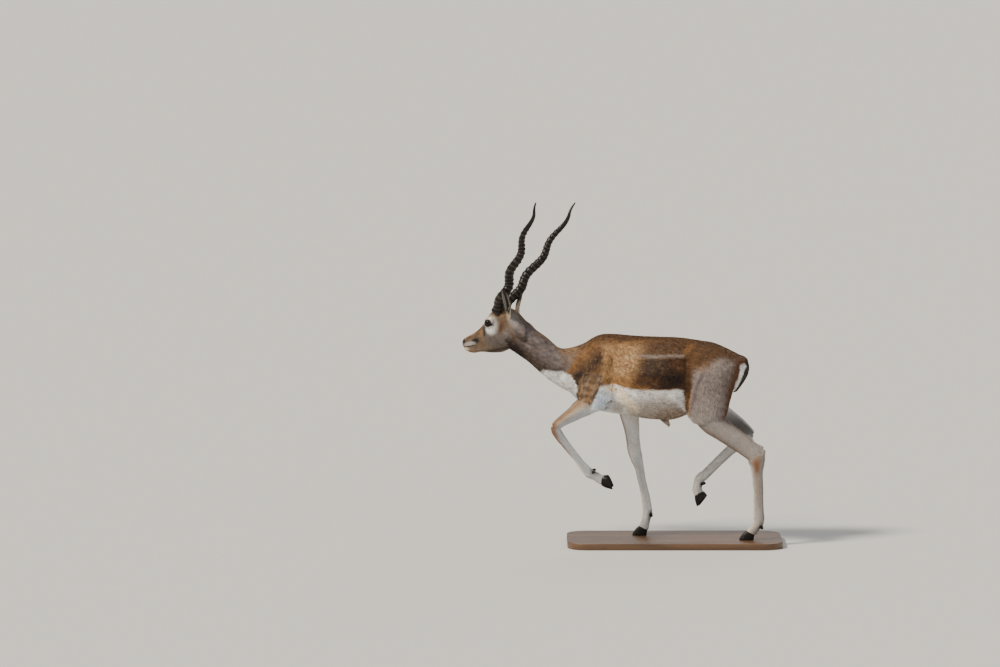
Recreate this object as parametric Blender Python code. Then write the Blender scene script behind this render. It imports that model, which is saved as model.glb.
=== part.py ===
# A male blackbuck at a walk, life size, as a still museum model on a plain base with rounded ends.
# Metres, +Z up. The animal faces -X and its left side is towards -Y.
# The origin is the centre of the base's underside.

import math

import bmesh
import bpy
import numpy as np
from mathutils import Matrix, Vector

# Driving dimensions
GAP = 0.0003
BASE_LENGTH = 0.84
BASE_WIDTH = 0.36
BASE_THICKNESS = 0.025
BASE_BEVEL = 0.004
EYE_RADIUS = 0.0165
HORN_RADIUS = 0.0178
HORN_RINGS = 25
HORN_TURNS = 3.40
HORN_PHASE = 0.976
HORN_SWING = 0.0085
HORN_BOW = 0.008
HORN_TIP = 0.0026
HORN_FLARE = 0.0038
HORN_FLARE_REACH = 0.09
HORN_RINGED_PART = 0.80
HORN_STEPS_PER_RING = 3
HORN_SMOOTH_STEPS = 10
HORN_SIDES = 8

FLESH_VOXEL = 0.005
FLESH_TRIANGLES = 5000
HEAD_VOXEL = 0.003
HEAD_TRIANGLES = 2100

UP = Vector((0.0, 0.0, 1.0))
SIDEWAYS = Vector((0.0, 1.0, 0.0))

# The head turns away from the left side, pitches with its own profile and rolls a little
HEAD_PIVOT = Vector((-0.621, 0.010, 0.833))
HEAD_YAW = math.radians(23.0)
HEAD_ROLL = math.radians(2.5)

# Trunk sections along the body: x, top, bottom, half width, and how low the widest level lies
TRUNK = [
    (-0.418, 0.690, 0.592, 0.036, 0.00),
    (-0.388, 0.732, 0.552, 0.062, 0.00),
    (-0.342, 0.772, 0.520, 0.086, 0.05),
    (-0.290, 0.799, 0.500, 0.101, 0.12),
    (-0.235, 0.801, 0.490, 0.112, 0.18),
    (-0.180, 0.796, 0.484, 0.122, 0.18),
    (-0.120, 0.792, 0.471, 0.130, 0.16),
    (-0.060, 0.790, 0.466, 0.133, 0.14),
    (0.000, 0.788, 0.468, 0.130, 0.10),
    (0.050, 0.783, 0.487, 0.119, 0.05),
    (0.100, 0.775, 0.520, 0.109, 0.00),
    (0.150, 0.767, 0.545, 0.105, -0.05),
    (0.200, 0.746, 0.560, 0.095, -0.05),
    (0.245, 0.723, 0.590, 0.072, 0.00),
    (0.282, 0.703, 0.640, 0.034, 0.00),
]

# Limb and neck sections: x, y, z, half depth fore and aft, half width sideways
NECK = [
    (-0.305, 0.000, 0.662, 0.118, 0.084),
    (-0.376, 0.000, 0.662, 0.098, 0.074),
    (-0.439, 0.000, 0.6745, 0.075, 0.057),
    (-0.4875, 0.000, 0.699, 0.060, 0.049),
    (-0.536, 0.002, 0.741, 0.059, 0.045),
    (-0.578, 0.005, 0.7695, 0.060, 0.044),
    (-0.610, 0.009, 0.796, 0.065, 0.044),
    (-0.648, 0.014, 0.826, 0.055, 0.040),
]

THIGH_LEFT = [
    (0.165, -0.030, 0.722, 0.045, 0.034),
    (0.151, -0.058, 0.670, 0.087, 0.055),
    (0.133, -0.074, 0.610, 0.095, 0.056),
    (0.124, -0.085, 0.545, 0.0875, 0.050),
    (0.1205, -0.090, 0.497, 0.078, 0.044),
    (0.120, -0.090, 0.462, 0.050, 0.036),
]
GASKIN_LEFT = [
    (0.110, -0.090, 0.495, 0.045, 0.036),
    (0.145, -0.089, 0.462, 0.047, 0.036),
    (0.182, -0.086, 0.434, 0.042, 0.032),
    (0.239, -0.081, 0.394, 0.0395, 0.026),
    (0.276, -0.078, 0.367, 0.0370, 0.022),
    (0.306, -0.076, 0.341, 0.0340, 0.021),
    (0.321, -0.075, 0.322, 0.0290, 0.020),
]
SHANK_LEFT = [
    (0.319, -0.075, 0.338, 0.0310, 0.0210),
    (0.3175, -0.075, 0.315, 0.0335, 0.0215),
    (0.3195, -0.075, 0.292, 0.0275, 0.0200),
    (0.3192, -0.074, 0.270, 0.0235, 0.0165),
    (0.3217, -0.073, 0.234, 0.0210, 0.0145),
    (0.3245, -0.072, 0.195, 0.0200, 0.0140),
    (0.3257, -0.071, 0.156, 0.0190, 0.0138),
    (0.3270, -0.070, 0.117, 0.0195, 0.0148),
    (0.3285, -0.070, 0.080, 0.0215, 0.0170),
]
HEEL_LEFT = [
    (0.331, -0.075, 0.306, 0.016, 0.014),
    (0.336, -0.076, 0.331, 0.014, 0.012),
    (0.343, -0.076, 0.355, 0.010, 0.009),
]
TENDON_LEFT = [
    (0.262, -0.080, 0.404, 0.016, 0.010),
    (0.300, -0.077, 0.378, 0.012, 0.008),
    (0.341, -0.076, 0.358, 0.010, 0.008),
]
PASTERN_LEFT_HIND = [
    (0.3290, -0.070, 0.088, 0.0195, 0.0165),
    (0.3270, -0.070, 0.068, 0.0195, 0.0175),
    (0.3160, -0.070, 0.050, 0.0170, 0.0165),
    (0.3040, -0.070, 0.036, 0.0185, 0.0180),
    (0.2965, -0.070, 0.024, 0.0195, 0.0190),
    (0.2920, -0.070, 0.006, 0.0200, 0.0190),
]

THIGH_RIGHT = [
    (0.165, 0.030, 0.722, 0.045, 0.034),
    (0.148, 0.058, 0.670, 0.088, 0.055),
    (0.127, 0.074, 0.612, 0.098, 0.056),
    (0.112, 0.086, 0.560, 0.086, 0.050),
    (0.100, 0.092, 0.525, 0.068, 0.044),
    (0.094, 0.092, 0.500, 0.046, 0.036),
]
GASKIN_RIGHT = [
    (0.082, 0.092, 0.535, 0.042, 0.036),
    (0.117, 0.091, 0.520, 0.050, 0.036),
    (0.160, 0.089, 0.489, 0.047, 0.034),
    (0.205, 0.086, 0.456, 0.042, 0.029),
    (0.247, 0.082, 0.427, 0.038, 0.024),
    (0.283, 0.078, 0.400, 0.031, 0.020),
    (0.299, 0.076, 0.386, 0.025, 0.019),
]
SHANK_RIGHT = [
    (0.302, 0.076, 0.388, 0.0270, 0.0205),
    (0.283, 0.075, 0.377, 0.0280, 0.0205),
    (0.262, 0.075, 0.366, 0.0240, 0.0190),
    (0.238, 0.073, 0.3480, 0.0210, 0.0155),
    (0.2087, 0.071, 0.3230, 0.0197, 0.0142),
    (0.1689, 0.069, 0.2849, 0.0187, 0.0138),
    (0.1295, 0.067, 0.2456, 0.0185, 0.0148),
    (0.1130, 0.065, 0.2300, 0.0190, 0.0165),
]
HEEL_RIGHT = [
    (0.279, 0.075, 0.370, 0.016, 0.014),
    (0.296, 0.075, 0.387, 0.014, 0.012),
    (0.305, 0.075, 0.397, 0.010, 0.009),
]
TENDON_RIGHT = [
    (0.258, 0.080, 0.434, 0.014, 0.010),
    (0.285, 0.077, 0.416, 0.010, 0.008),
    (0.302, 0.076, 0.400, 0.009, 0.008),
]
PASTERN_RIGHT_HIND = [
    (0.1150, 0.065, 0.2340, 0.0190, 0.0165),
    (0.1020, 0.065, 0.2210, 0.0195, 0.0172),
    (0.0950, 0.064, 0.2010, 0.0178, 0.0165),
    (0.0912, 0.063, 0.1820, 0.0185, 0.0175),
    (0.0960, 0.063, 0.1660, 0.0190, 0.0185),
    (0.1040, 0.063, 0.1480, 0.0190, 0.0185),
]

SHOULDER_LEFT = [
    (-0.258, -0.030, 0.758, 0.026, 0.024),
    (-0.270, -0.058, 0.715, 0.052, 0.038),
    (-0.290, -0.074, 0.655, 0.064, 0.042),
    (-0.307, -0.082, 0.600, 0.068, 0.043),
    (-0.318, -0.086, 0.553, 0.060, 0.040),
    (-0.322, -0.087, 0.520, 0.044, 0.034),
]
FOREARM_LEFT = [
    (-0.300, -0.087, 0.540, 0.030, 0.030),
    (-0.338, -0.087, 0.533, 0.038, 0.034),
    (-0.3695, -0.086, 0.518, 0.0365, 0.031),
    (-0.395, -0.085, 0.4985, 0.0290, 0.0265),
    (-0.4253, -0.083, 0.4790, 0.0235, 0.0215),
    (-0.4535, -0.080, 0.4585, 0.0195, 0.0190),
    (-0.4665, -0.079, 0.4440, 0.0190, 0.0185),
]
SHANK_LEFT_FORE = [
    (-0.4665, -0.079, 0.4480, 0.0185, 0.0180),
    (-0.4625, -0.079, 0.4290, 0.0190, 0.0180),
    (-0.4475, -0.078, 0.4045, 0.0178, 0.0160),
    (-0.4300, -0.077, 0.3815, 0.0162, 0.0138),
    (-0.4128, -0.076, 0.3597, 0.0153, 0.0128),
    (-0.3939, -0.074, 0.3358, 0.0147, 0.0122),
    (-0.3786, -0.073, 0.3160, 0.0145, 0.0122),
    (-0.3615, -0.072, 0.2936, 0.0160, 0.0135),
    (-0.3432, -0.071, 0.2722, 0.0188, 0.0158),
]
PASTERN_LEFT_FORE = [
    (-0.3440, -0.071, 0.2735, 0.0188, 0.0158),
    (-0.3355, -0.070, 0.2630, 0.0190, 0.0165),
    (-0.3120, -0.070, 0.2520, 0.0172, 0.0160),
    (-0.2960, -0.070, 0.2420, 0.0175, 0.0172),
    (-0.2820, -0.070, 0.2335, 0.0180, 0.0180),
    (-0.2660, -0.070, 0.2250, 0.0180, 0.0180),
]

SHOULDER_RIGHT = [
    (-0.252, 0.030, 0.758, 0.026, 0.024),
    (-0.256, 0.058, 0.715, 0.052, 0.038),
    (-0.264, 0.074, 0.655, 0.064, 0.042),
    (-0.262, 0.082, 0.600, 0.068, 0.043),
    (-0.240, 0.086, 0.550, 0.062, 0.041),
    (-0.208, 0.086, 0.515, 0.050, 0.036),
]
FOREARM_RIGHT = [
    (-0.192, 0.085, 0.545, 0.034, 0.030),
    (-0.182, 0.084, 0.500, 0.038, 0.034),
    (-0.1716, 0.080, 0.455, 0.0345, 0.0290),
    (-0.1655, 0.077, 0.4157, 0.0295, 0.0245),
    (-0.1609, 0.074, 0.3764, 0.0265, 0.0215),
    (-0.1560, 0.071, 0.3372, 0.0262, 0.0205),
    (-0.1475, 0.069, 0.3050, 0.0240, 0.0195),
]
SHANK_RIGHT_FORE = [
    (-0.1500, 0.069, 0.3180, 0.0245, 0.0195),
    (-0.1455, 0.069, 0.2980, 0.0230, 0.0188),
    (-0.1395, 0.068, 0.2784, 0.0195, 0.0162),
    (-0.1340, 0.068, 0.2588, 0.0172, 0.0140),
    (-0.1268, 0.066, 0.2195, 0.0160, 0.0128),
    (-0.1174, 0.065, 0.1800, 0.0160, 0.0126),
    (-0.1092, 0.064, 0.1410, 0.0170, 0.0134),
    (-0.1035, 0.062, 0.1000, 0.0178, 0.0158),
]
PASTERN_RIGHT_FORE = [
    (-0.1025, 0.062, 0.1050, 0.0175, 0.0155),
    (-0.1040, 0.062, 0.0850, 0.0180, 0.0165),
    (-0.1080, 0.061, 0.0630, 0.0162, 0.0155),
    (-0.1135, 0.060, 0.0420, 0.0175, 0.0175),
    (-0.1185, 0.060, 0.0260, 0.0190, 0.0190),
    (-0.1225, 0.060, 0.0080, 0.0195, 0.0190),
]

SHEATH = [
    (-0.055, 0.000, 0.478, 0.014, 0.016),
    (-0.038, 0.000, 0.463, 0.012, 0.012),
    (-0.028, 0.000, 0.450, 0.0085, 0.008),
    (-0.022, 0.000, 0.437, 0.0050, 0.005),
]

TAIL = [
    (0.236, 0.000, 0.706, 0.014, 0.016),
    (0.262, 0.000, 0.698, 0.017, 0.019),
    (0.271, 0.000, 0.672, 0.018, 0.021),
    (0.266, 0.000, 0.640, 0.016, 0.020),
    (0.253, 0.000, 0.608, 0.010, 0.014),
    (0.237, 0.000, 0.575, 0.004, 0.006),
]

# Head sections, nose first, in the head's own plane: upper edge forward and up,
# lower edge forward and up, half width, squareness, and how low the widest level lies
HEAD = [
    (0.221, -0.070, 0.217, -0.092, 0.013, 0.95, 0.00),
    (0.218, -0.061, 0.212, -0.102, 0.0195, 0.90, 0.00),
    (0.203, -0.052, 0.199, -0.110, 0.0235, 0.85, 0.00),
    (0.182, -0.041, 0.176, -0.115, 0.0235, 0.85, 0.02),
    (0.161, -0.027, 0.150, -0.110, 0.0250, 0.85, 0.05),
    (0.143, -0.010, 0.127, -0.109, 0.0300, 0.85, 0.05),
    (0.126, 0.009, 0.098, -0.110, 0.0370, 0.85, 0.00),
    (0.117, 0.023, 0.075, -0.109, 0.0420, 0.88, -0.10),
    (0.108, 0.038, 0.054, -0.106, 0.0440, 0.90, -0.15),
    (0.096, 0.052, 0.038, -0.099, 0.0440, 0.90, -0.15),
    (0.073, 0.065, 0.022, -0.092, 0.0430, 0.90, -0.12),
    (0.042, 0.069, 0.004, -0.086, 0.0430, 0.92, -0.05),
    (0.008, 0.061, -0.018, -0.084, 0.0440, 0.95, 0.00),
    (-0.022, 0.038, -0.044, -0.080, 0.0410, 1.00, 0.00),
    (-0.048, 0.010, -0.060, -0.070, 0.0350, 1.00, 0.00),
]
EYE_PLACE = (0.097, 0.0380, 0.007)
EYE_OPENING = (0.0150, 0.0120)
EYE_OPENING_REACH = (0.004, 0.030)
EYE_OPENING_STEPS = 16
EYE_TILT = math.radians(-20.0)
LID_THICKNESS = 0.0024
HORN_PLACE = (0.071, 0.027, 0.052)
HORN_TIPS = {"left": (-0.160, 0.200, 0.495), "right": (-0.161, 0.200, 0.479)}

# Swellings of each side of the head: middle, half sizes, tilt in degrees
EYE_SOCKET = ((0.093, 0.0290, 0.010), (0.0250, 0.0215, 0.0245), 0.0)
CHEEK = ((0.036, 0.0300, -0.043), (0.046, 0.0175, 0.034), 0.0)
CHEEKBONE = ((0.082, 0.0270, -0.024), (0.040, 0.0150, 0.012), 12.0)

# Ears in the head's frame: foot, tip, and the way the hollow faces. The right one is turned back
EARS = {
    "left": ((0.015, 0.034, 0.030), (-0.004, 0.144, 0.157), (0.50, 0.74, -0.45)),
    "right": ((0.010, 0.036, 0.028), (0.024, 0.134, 0.142), (-0.85, 0.45, -0.25)),
}
EAR_HALF_WIDTH = 0.0212
EAR_WALL = 0.0032
EAR_HOLLOW_START = 0.18
EAR_HOLLOW_RISE = 0.12

# Share of the ear's full width at parts of its length
EAR_WIDTHS = [
    (0.00, 0.46),
    (0.14, 0.56),
    (0.30, 0.84),
    (0.50, 1.00),
    (0.72, 0.86),
    (0.90, 0.46),
    (1.00, 0.10),
]

# Thin cuts between the flesh nodes: middle, direction along the limb, half size
CUTS = [
    ((-0.352, 0.000, 0.655), (-0.92, 0.0, 0.06), 0.20),
    ((-0.628, 0.012, 0.790), (-0.89, 0.10, 0.456), 0.112),
    ((0.128, -0.098, 0.488), (0.10, 0.0, -1.0), 0.092),
    ((0.118, 0.098, 0.497), (0.25, 0.0, -1.0), 0.100),
    ((0.308, -0.076, 0.344), (0.62, 0.0, -0.78), 0.062),
    ((0.279, 0.078, 0.4065), (0.49, 0.0, -0.87), 0.050),
    ((0.3280, -0.070, 0.100), (-0.02, 0.0, -1.0), 0.040),
    ((0.1290, 0.066, 0.245), (-0.72, 0.0, -0.69), 0.040),
    ((-0.372, -0.086, 0.515), (-0.80, 0.0, -0.60), 0.054),
    ((-0.174, 0.083, 0.466), (0.20, 0.0, -0.98), 0.062),
    ((-0.4655, -0.079, 0.443), (-0.25, 0.0, -0.97), 0.040),
    ((-0.1480, 0.069, 0.308), (0.28, 0.0, -0.96), 0.042),
    ((-0.3560, -0.072, 0.287), (0.62, 0.0, -0.78), 0.036),
    ((-0.1035, 0.062, 0.108), (0.10, 0.0, -0.99), 0.036),
]

# A point inside each flesh node, by which its piece is known
FLESH_NODES = {
    "torso": (0.000, 0.000, 0.620),
    "neck": (-0.500, 0.001, 0.715),
    "thigh_hind_left": (0.225, -0.083, 0.404),
    "shank_hind_left": (0.3245, -0.072, 0.200),
    "pastern_hind_left": (0.316, -0.070, 0.050),
    "thigh_hind_right": (0.205, 0.086, 0.456),
    "shank_hind_right": (0.205, 0.071, 0.320),
    "pastern_hind_right": (0.095, 0.064, 0.200),
    "forearm_left": (-0.420, -0.083, 0.482),
    "shank_fore_left": (-0.4128, -0.076, 0.360),
    "pastern_fore_left": (-0.305, -0.070, 0.247),
    "forearm_right": (-0.164, 0.076, 0.400),
    "shank_fore_right": (-0.125, 0.066, 0.210),
    "pastern_fore_right": (-0.109, 0.061, 0.056),
}

# Each foot: middle of the coronet, how far the toe dips in degrees, and the way to its right side
FEET = {
    "hind_left": ((0.2960, -0.070, 0.0285), 0.0, (0.0, 1.0, 0.0)),
    "hind_right": ((0.1000, 0.063, 0.1655), 50.0, (0.36, 0.93, 0.0)),
    "fore_left": ((-0.2840, -0.070, 0.2345), 109.0, (0.22, 0.90, 0.38)),
    "fore_right": ((-0.1185, 0.060, 0.0285), 0.0, (0.0, 1.0, 0.0)),
}
CORONET_TILT = 0.50
CORONET_CUT = 0.042
CLAW_TOP_FRONT = 0.0145
CLAW_TOP_BACK = 0.0145
CLAW_FRONT = 0.046
CLAW_BACK = 0.011
CLAW_HALF_WIDTH = 0.0092
CLAW_HEIGHT = 0.0285
CLAW_LEVELS = (0.0, 0.35, 0.85, 1.0)
CLAW_SOLE_EDGE = 0.002
CLAW_STEPS = 12
CLAW_SPREAD = 0.0101

# Each pair of dewclaws: middle, and how far they lean back in degrees
DEWCLAWS = {
    "hind_left": ((0.3375, -0.070, 0.0510), 35.0),
    "hind_right": ((0.1125, 0.065, 0.2030), 80.0),
    "fore_left": ((-0.3190, -0.070, 0.2690), 120.0),
    "fore_right": ((-0.0900, 0.062, 0.0810), 30.0),
}
DEWCLAW_SCALE = (0.0075, 0.0065, 0.0112)
DEWCLAW_SPREAD = 0.0105

# The line between the lips and the slit below the eye, forward and up in the head's frame
MOUTH = [(0.226, -0.0910), (0.205, -0.0935), (0.186, -0.0900), (0.168, -0.0840)]
MOUTH_DEPTH = 0.0022
MOUTH_WIDTH = 0.0030
NOSTRIL = (0.2120, 0.0120, -0.0720)
NOSTRIL_SCALE = (0.0070, 0.0046, 0.0030)
GLAND = [(0.1210, -0.0130), (0.1180, -0.0270), (0.1190, -0.0400)]
GLAND_DEPTH = 0.0032
GLAND_WIDTH = 0.0032


def clear_scene():
    for thing in list(bpy.data.objects):
        bpy.data.objects.remove(thing, do_unlink=True)


def paint(name, colour, roughness):
    material = bpy.data.materials.new(name)
    material.use_nodes = True
    shader = material.node_tree.nodes["Principled BSDF"]
    shader.inputs["Base Color"].default_value = (*colour, 1.0)
    shader.inputs["Roughness"].default_value = roughness
    shader.inputs["Metallic"].default_value = 0.0
    material.diffuse_color = (*colour, 1.0)
    return material


def add_object(name, points, faces):
    mesh = bpy.data.meshes.new(name)
    mesh.from_pydata([tuple(point) for point in points], [], faces)
    body = bmesh.new()
    body.from_mesh(mesh)
    bmesh.ops.recalc_face_normals(body, faces=body.faces)
    body.to_mesh(mesh)
    body.free()
    thing = bpy.data.objects.new(name, mesh)
    bpy.context.scene.collection.objects.link(thing)
    return thing


def smooth_rows(rows, steps):
    """Rows on a curve through the given ones, `steps` for each span."""
    table = np.array(rows, float)
    ends = np.vstack([2 * table[0] - table[1], table, 2 * table[-1] - table[-2]])
    found = []
    for index in range(1, len(table)):
        before, start, stop, after = ends[index - 1 : index + 3]
        for step in range(steps):
            part = step / steps
            found.append(
                start
                + 0.5 * part * (stop - before)
                + part**2 * (before - 2.5 * start + 2 * stop - 0.5 * after)
                + part**3 * (1.5 * (start - stop) + 0.5 * (after - before))
            )
    found.append(table[-1])
    return np.array(found)


def loft(name, rings):
    """A closed skin over rings of equal count, with a flat face on each end."""
    count = len(rings[0])
    points = [point for ring in rings for point in ring]
    faces = [tuple(range(count)), tuple(range(len(points) - count, len(points)))]
    for level in range(len(rings) - 1):
        for index in range(count):
            after = (index + 1) % count
            low = level * count
            faces.append((low + index, low + after, low + count + after, low + count + index))
    return add_object(name, points, faces)


def limb(name, stations, grow=0.0, steps=5, around=20):
    rows = smooth_rows(stations, steps)
    centres = [Vector(row[:3]) for row in rows]
    rings = []
    for index, row in enumerate(rows):
        along = centres[min(index + 1, len(rows) - 1)] - centres[max(index - 1, 0)]
        along.normalize()
        side = (SIDEWAYS - along * SIDEWAYS.dot(along)).normalized()
        depth = along.cross(side)
        rings.append(
            [
                centres[index]
                + depth * ((row[3] + grow) * math.cos(turn))
                + side * ((row[4] + grow) * math.sin(turn))
                for turn in (math.tau * step / around for step in range(around))
            ]
        )
    return loft(name, rings)


def trunk(name, steps=4, around=36):
    rings = []
    for along, top, bottom, half, low in smooth_rows(TRUNK, steps):
        middle = (top + bottom) / 2
        height = (top - bottom) / 2
        ring = []
        for step in range(around):
            turn = math.tau * step / around
            rise = math.cos(turn) - low * math.sin(turn) ** 2
            ring.append(Vector((along, half * math.sin(turn), middle + height * rise)))
        rings.append(ring)
    return loft(name, rings)


def head_frame():
    """The matrix that takes forward, right and up in the head to the world."""
    ahead = Vector((-math.cos(HEAD_YAW), math.sin(HEAD_YAW), 0.0))
    right = Vector((math.sin(HEAD_YAW), math.cos(HEAD_YAW), 0.0))
    roll = Matrix.Rotation(HEAD_ROLL, 3, ahead)
    columns = (ahead, roll @ right, roll @ UP)
    frame = Matrix([[column[row] for column in columns] for row in range(3)]).to_4x4()
    frame.translation = HEAD_PIVOT
    return frame


def head_loft(name, steps=5, around=32):
    frame = head_frame()
    rings = []
    for front, top, back, bottom, half, power, low in smooth_rows(HEAD, steps):
        middle = Vector(((front + back) / 2, 0.0, (top + bottom) / 2))
        height = Vector(((front - back) / 2, 0.0, (top - bottom) / 2))
        ring = []
        for step in range(around):
            turn = math.tau * step / around
            across = math.copysign(abs(math.sin(turn)) ** power, math.sin(turn))
            rise = math.copysign(abs(math.cos(turn)) ** power, math.cos(turn))
            rise -= low * across * across
            place = middle + height * rise + Vector((0.0, half * across, 0.0))
            ring.append(frame @ place)
        rings.append(ring)
    return loft(name, rings)


def ball(name, middle, radius, frame=None, scale=(1.0, 1.0, 1.0), around=16, levels=9):
    place = Matrix.Translation(middle) if frame is None else frame @ Matrix.Translation(middle)
    points = [place @ Vector((0.0, 0.0, -radius * scale[2]))]
    for level in range(1, levels):
        lift = math.pi * level / levels
        for step in range(around):
            turn = math.tau * step / around
            spot = Vector(
                (
                    math.sin(lift) * math.cos(turn) * scale[0],
                    math.sin(lift) * math.sin(turn) * scale[1],
                    -math.cos(lift) * scale[2],
                )
            )
            points.append(place @ (spot * radius))
    points.append(place @ Vector((0.0, 0.0, radius * scale[2])))
    faces = []
    top = len(points) - 1
    for step in range(around):
        after = (step + 1) % around
        faces.append((0, 1 + after, 1 + step))
        faces.append((top, top - around + step, top - around + after))
        for level in range(levels - 2):
            low = 1 + level * around
            faces.append((low + step, low + after, low + around + after, low + around + step))
    return add_object(name, points, faces)


def settle(thing):
    """Applies the modifiers of an object to its mesh."""
    bpy.context.view_layer.update()
    graph = bpy.context.evaluated_depsgraph_get()
    mesh = bpy.data.meshes.new_from_object(thing.evaluated_get(graph))
    thing.modifiers.clear()
    thing.data = mesh
    return thing


def merge(name, things):
    body = bmesh.new()
    for thing in things:
        body.from_mesh(thing.data)
        bpy.data.objects.remove(thing, do_unlink=True)
    mesh = bpy.data.meshes.new(name)
    body.to_mesh(mesh)
    body.free()
    thing = bpy.data.objects.new(name, mesh)
    bpy.context.scene.collection.objects.link(thing)
    return thing


def fuse(thing, voxel, rounds):
    """One skin over all of an object's overlapping bodies, with the joints softened."""
    remesh = thing.modifiers.new("fuse", "REMESH")
    remesh.mode = "VOXEL"
    remesh.voxel_size = voxel
    soften = thing.modifiers.new("soften", "SMOOTH")
    soften.factor = 0.5
    soften.iterations = rounds
    settle(thing)
    keep_largest(thing)
    return thing


def thin_out(thing, triangles, weights=None):
    triangle_count = sum(len(face.vertices) - 2 for face in thing.data.polygons)
    reduce = thing.modifiers.new("thin_out", "DECIMATE")
    reduce.ratio = triangles / triangle_count
    reduce.use_collapse_triangulate = True
    if weights is not None:
        group = thing.vertex_groups.new(name="fine")
        for index, weight in enumerate(weights):
            group.add([index], weight, "REPLACE")
        reduce.vertex_group = "fine"
        reduce.invert_vertex_group = True
        reduce.vertex_group_factor = 3.0
    settle(thing)
    thing.vertex_groups.clear()
    return thing


def pieces_of(body):
    """The vertices of each connected piece of a bmesh."""
    left = set(body.verts)
    found = []
    while left:
        edge = [left.pop()]
        piece = set(edge)
        while edge:
            for link in edge.pop().link_edges:
                for vertex in link.verts:
                    if vertex in left:
                        left.discard(vertex)
                        piece.add(vertex)
                        edge.append(vertex)
        found.append(piece)
    return found


def keep_largest(thing):
    body = bmesh.new()
    body.from_mesh(thing.data)
    pieces = sorted(pieces_of(body), key=len)
    extra = [vertex for piece in pieces[:-1] for vertex in piece]
    bmesh.ops.delete(body, geom=extra, context="VERTS")
    body.to_mesh(thing.data)
    body.free()
    return thing


def cut(thing, cutter, solver="EXACT"):
    boolean = thing.modifiers.new("cut", "BOOLEAN")
    boolean.operation = "DIFFERENCE"
    boolean.solver = solver
    boolean.object = cutter
    settle(thing)
    bpy.data.objects.remove(cutter, do_unlink=True)
    return thing


def slab(name, middle, along, half, thickness=GAP):
    """A thin square plate across a limb."""
    along = Vector(along).normalized()
    side = (SIDEWAYS - along * SIDEWAYS.dot(along)).normalized()
    depth = along.cross(side)
    corners = [(-1, -1), (1, -1), (1, 1), (-1, 1)]
    rings = [
        [
            Vector(middle) + along * lift + side * (across * half) + depth * (fore * half)
            for across, fore in corners
        ]
        for lift in (-thickness / 2, thickness / 2)
    ]
    return loft(name, rings)


def line_distance(points, line):
    """How far each point of a plane is from a line of joined points."""
    nearest = np.full(len(points), np.inf)
    for start, stop in zip(np.array(line)[:-1], np.array(line)[1:]):
        along = stop - start
        part = np.clip((points - start) @ along / (along @ along), 0.0, 1.0)
        away = np.linalg.norm(points - start - part[:, None] * along, axis=1)
        nearest = np.minimum(nearest, away)
    return nearest


def carve_head(thing):
    """Presses in the line of the mouth and the slits below the eyes, and rolls the lips."""
    mesh = thing.data
    count = len(mesh.vertices)
    points = np.empty(count * 3)
    normals = np.empty(count * 3)
    mesh.vertices.foreach_get("co", points)
    mesh.vertices.foreach_get("normal", normals)
    points = points.reshape(-1, 3)
    normals = normals.reshape(-1, 3)
    frame = np.array(head_frame().inverted())
    local = points @ frame[:3, :3].T + frame[:3, 3]
    side_view = local[:, [0, 2]]
    away = line_distance(side_view, MOUTH)
    push = -MOUTH_DEPTH * np.exp(-((away / MOUTH_WIDTH) ** 2))
    push += 0.35 * MOUTH_DEPTH * np.exp(-(((away - 2.2 * MOUTH_WIDTH) / MOUTH_WIDTH) ** 2))
    beside = np.abs(local[:, 1]) > 0.015
    away = line_distance(side_view, GLAND)
    push -= GLAND_DEPTH * np.exp(-((away / GLAND_WIDTH) ** 2)) * beside
    mesh.vertices.foreach_set("co", (points + normals * push[:, None]).ravel())
    mesh.update()
    to_eye = np.linalg.norm(local - EYE_PLACE, axis=1)
    to_eye = np.minimum(to_eye, np.linalg.norm(local * (1.0, -1.0, 1.0) - EYE_PLACE, axis=1))
    muzzle = np.clip((local[:, 0] - 0.14) / 0.05, 0.0, 1.0)
    fine = np.clip(1.6 - to_eye / 0.022, 0.0, 1.0)
    return np.maximum(0.6 * muzzle, fine)


def mirrored(place, side):
    return (place[0], place[1] * side, place[2])


def side_word(side):
    return "left" if side < 0 else "right"


def eye(name, side, grow=0.0):
    return ball(name, mirrored(EYE_PLACE, side), EYE_RADIUS + grow, head_frame(), around=14, levels=9)


def eye_opening(name, side):
    """An almond along the line of the face, pointed towards the nose and the ear."""
    frame = head_frame()
    middle = Vector(mirrored(EYE_PLACE, side))
    tilt = Matrix.Rotation(EYE_TILT, 3, "Y")
    rings = []
    for lift in EYE_OPENING_REACH:
        outward = Vector((0.16 * lift, side * lift, 0.06 * lift))
        ring = []
        for step in range(EYE_OPENING_STEPS):
            turn = math.tau * step / EYE_OPENING_STEPS
            spot = Vector((math.cos(turn) * EYE_OPENING[0], 0.0, math.sin(turn) * EYE_OPENING[1]))
            spot.z *= 1.0 - 0.25 * math.cos(turn) ** 4
            ring.append(frame @ (middle + tilt @ spot + outward))
        rings.append(ring)
    return loft(name, rings)


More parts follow.
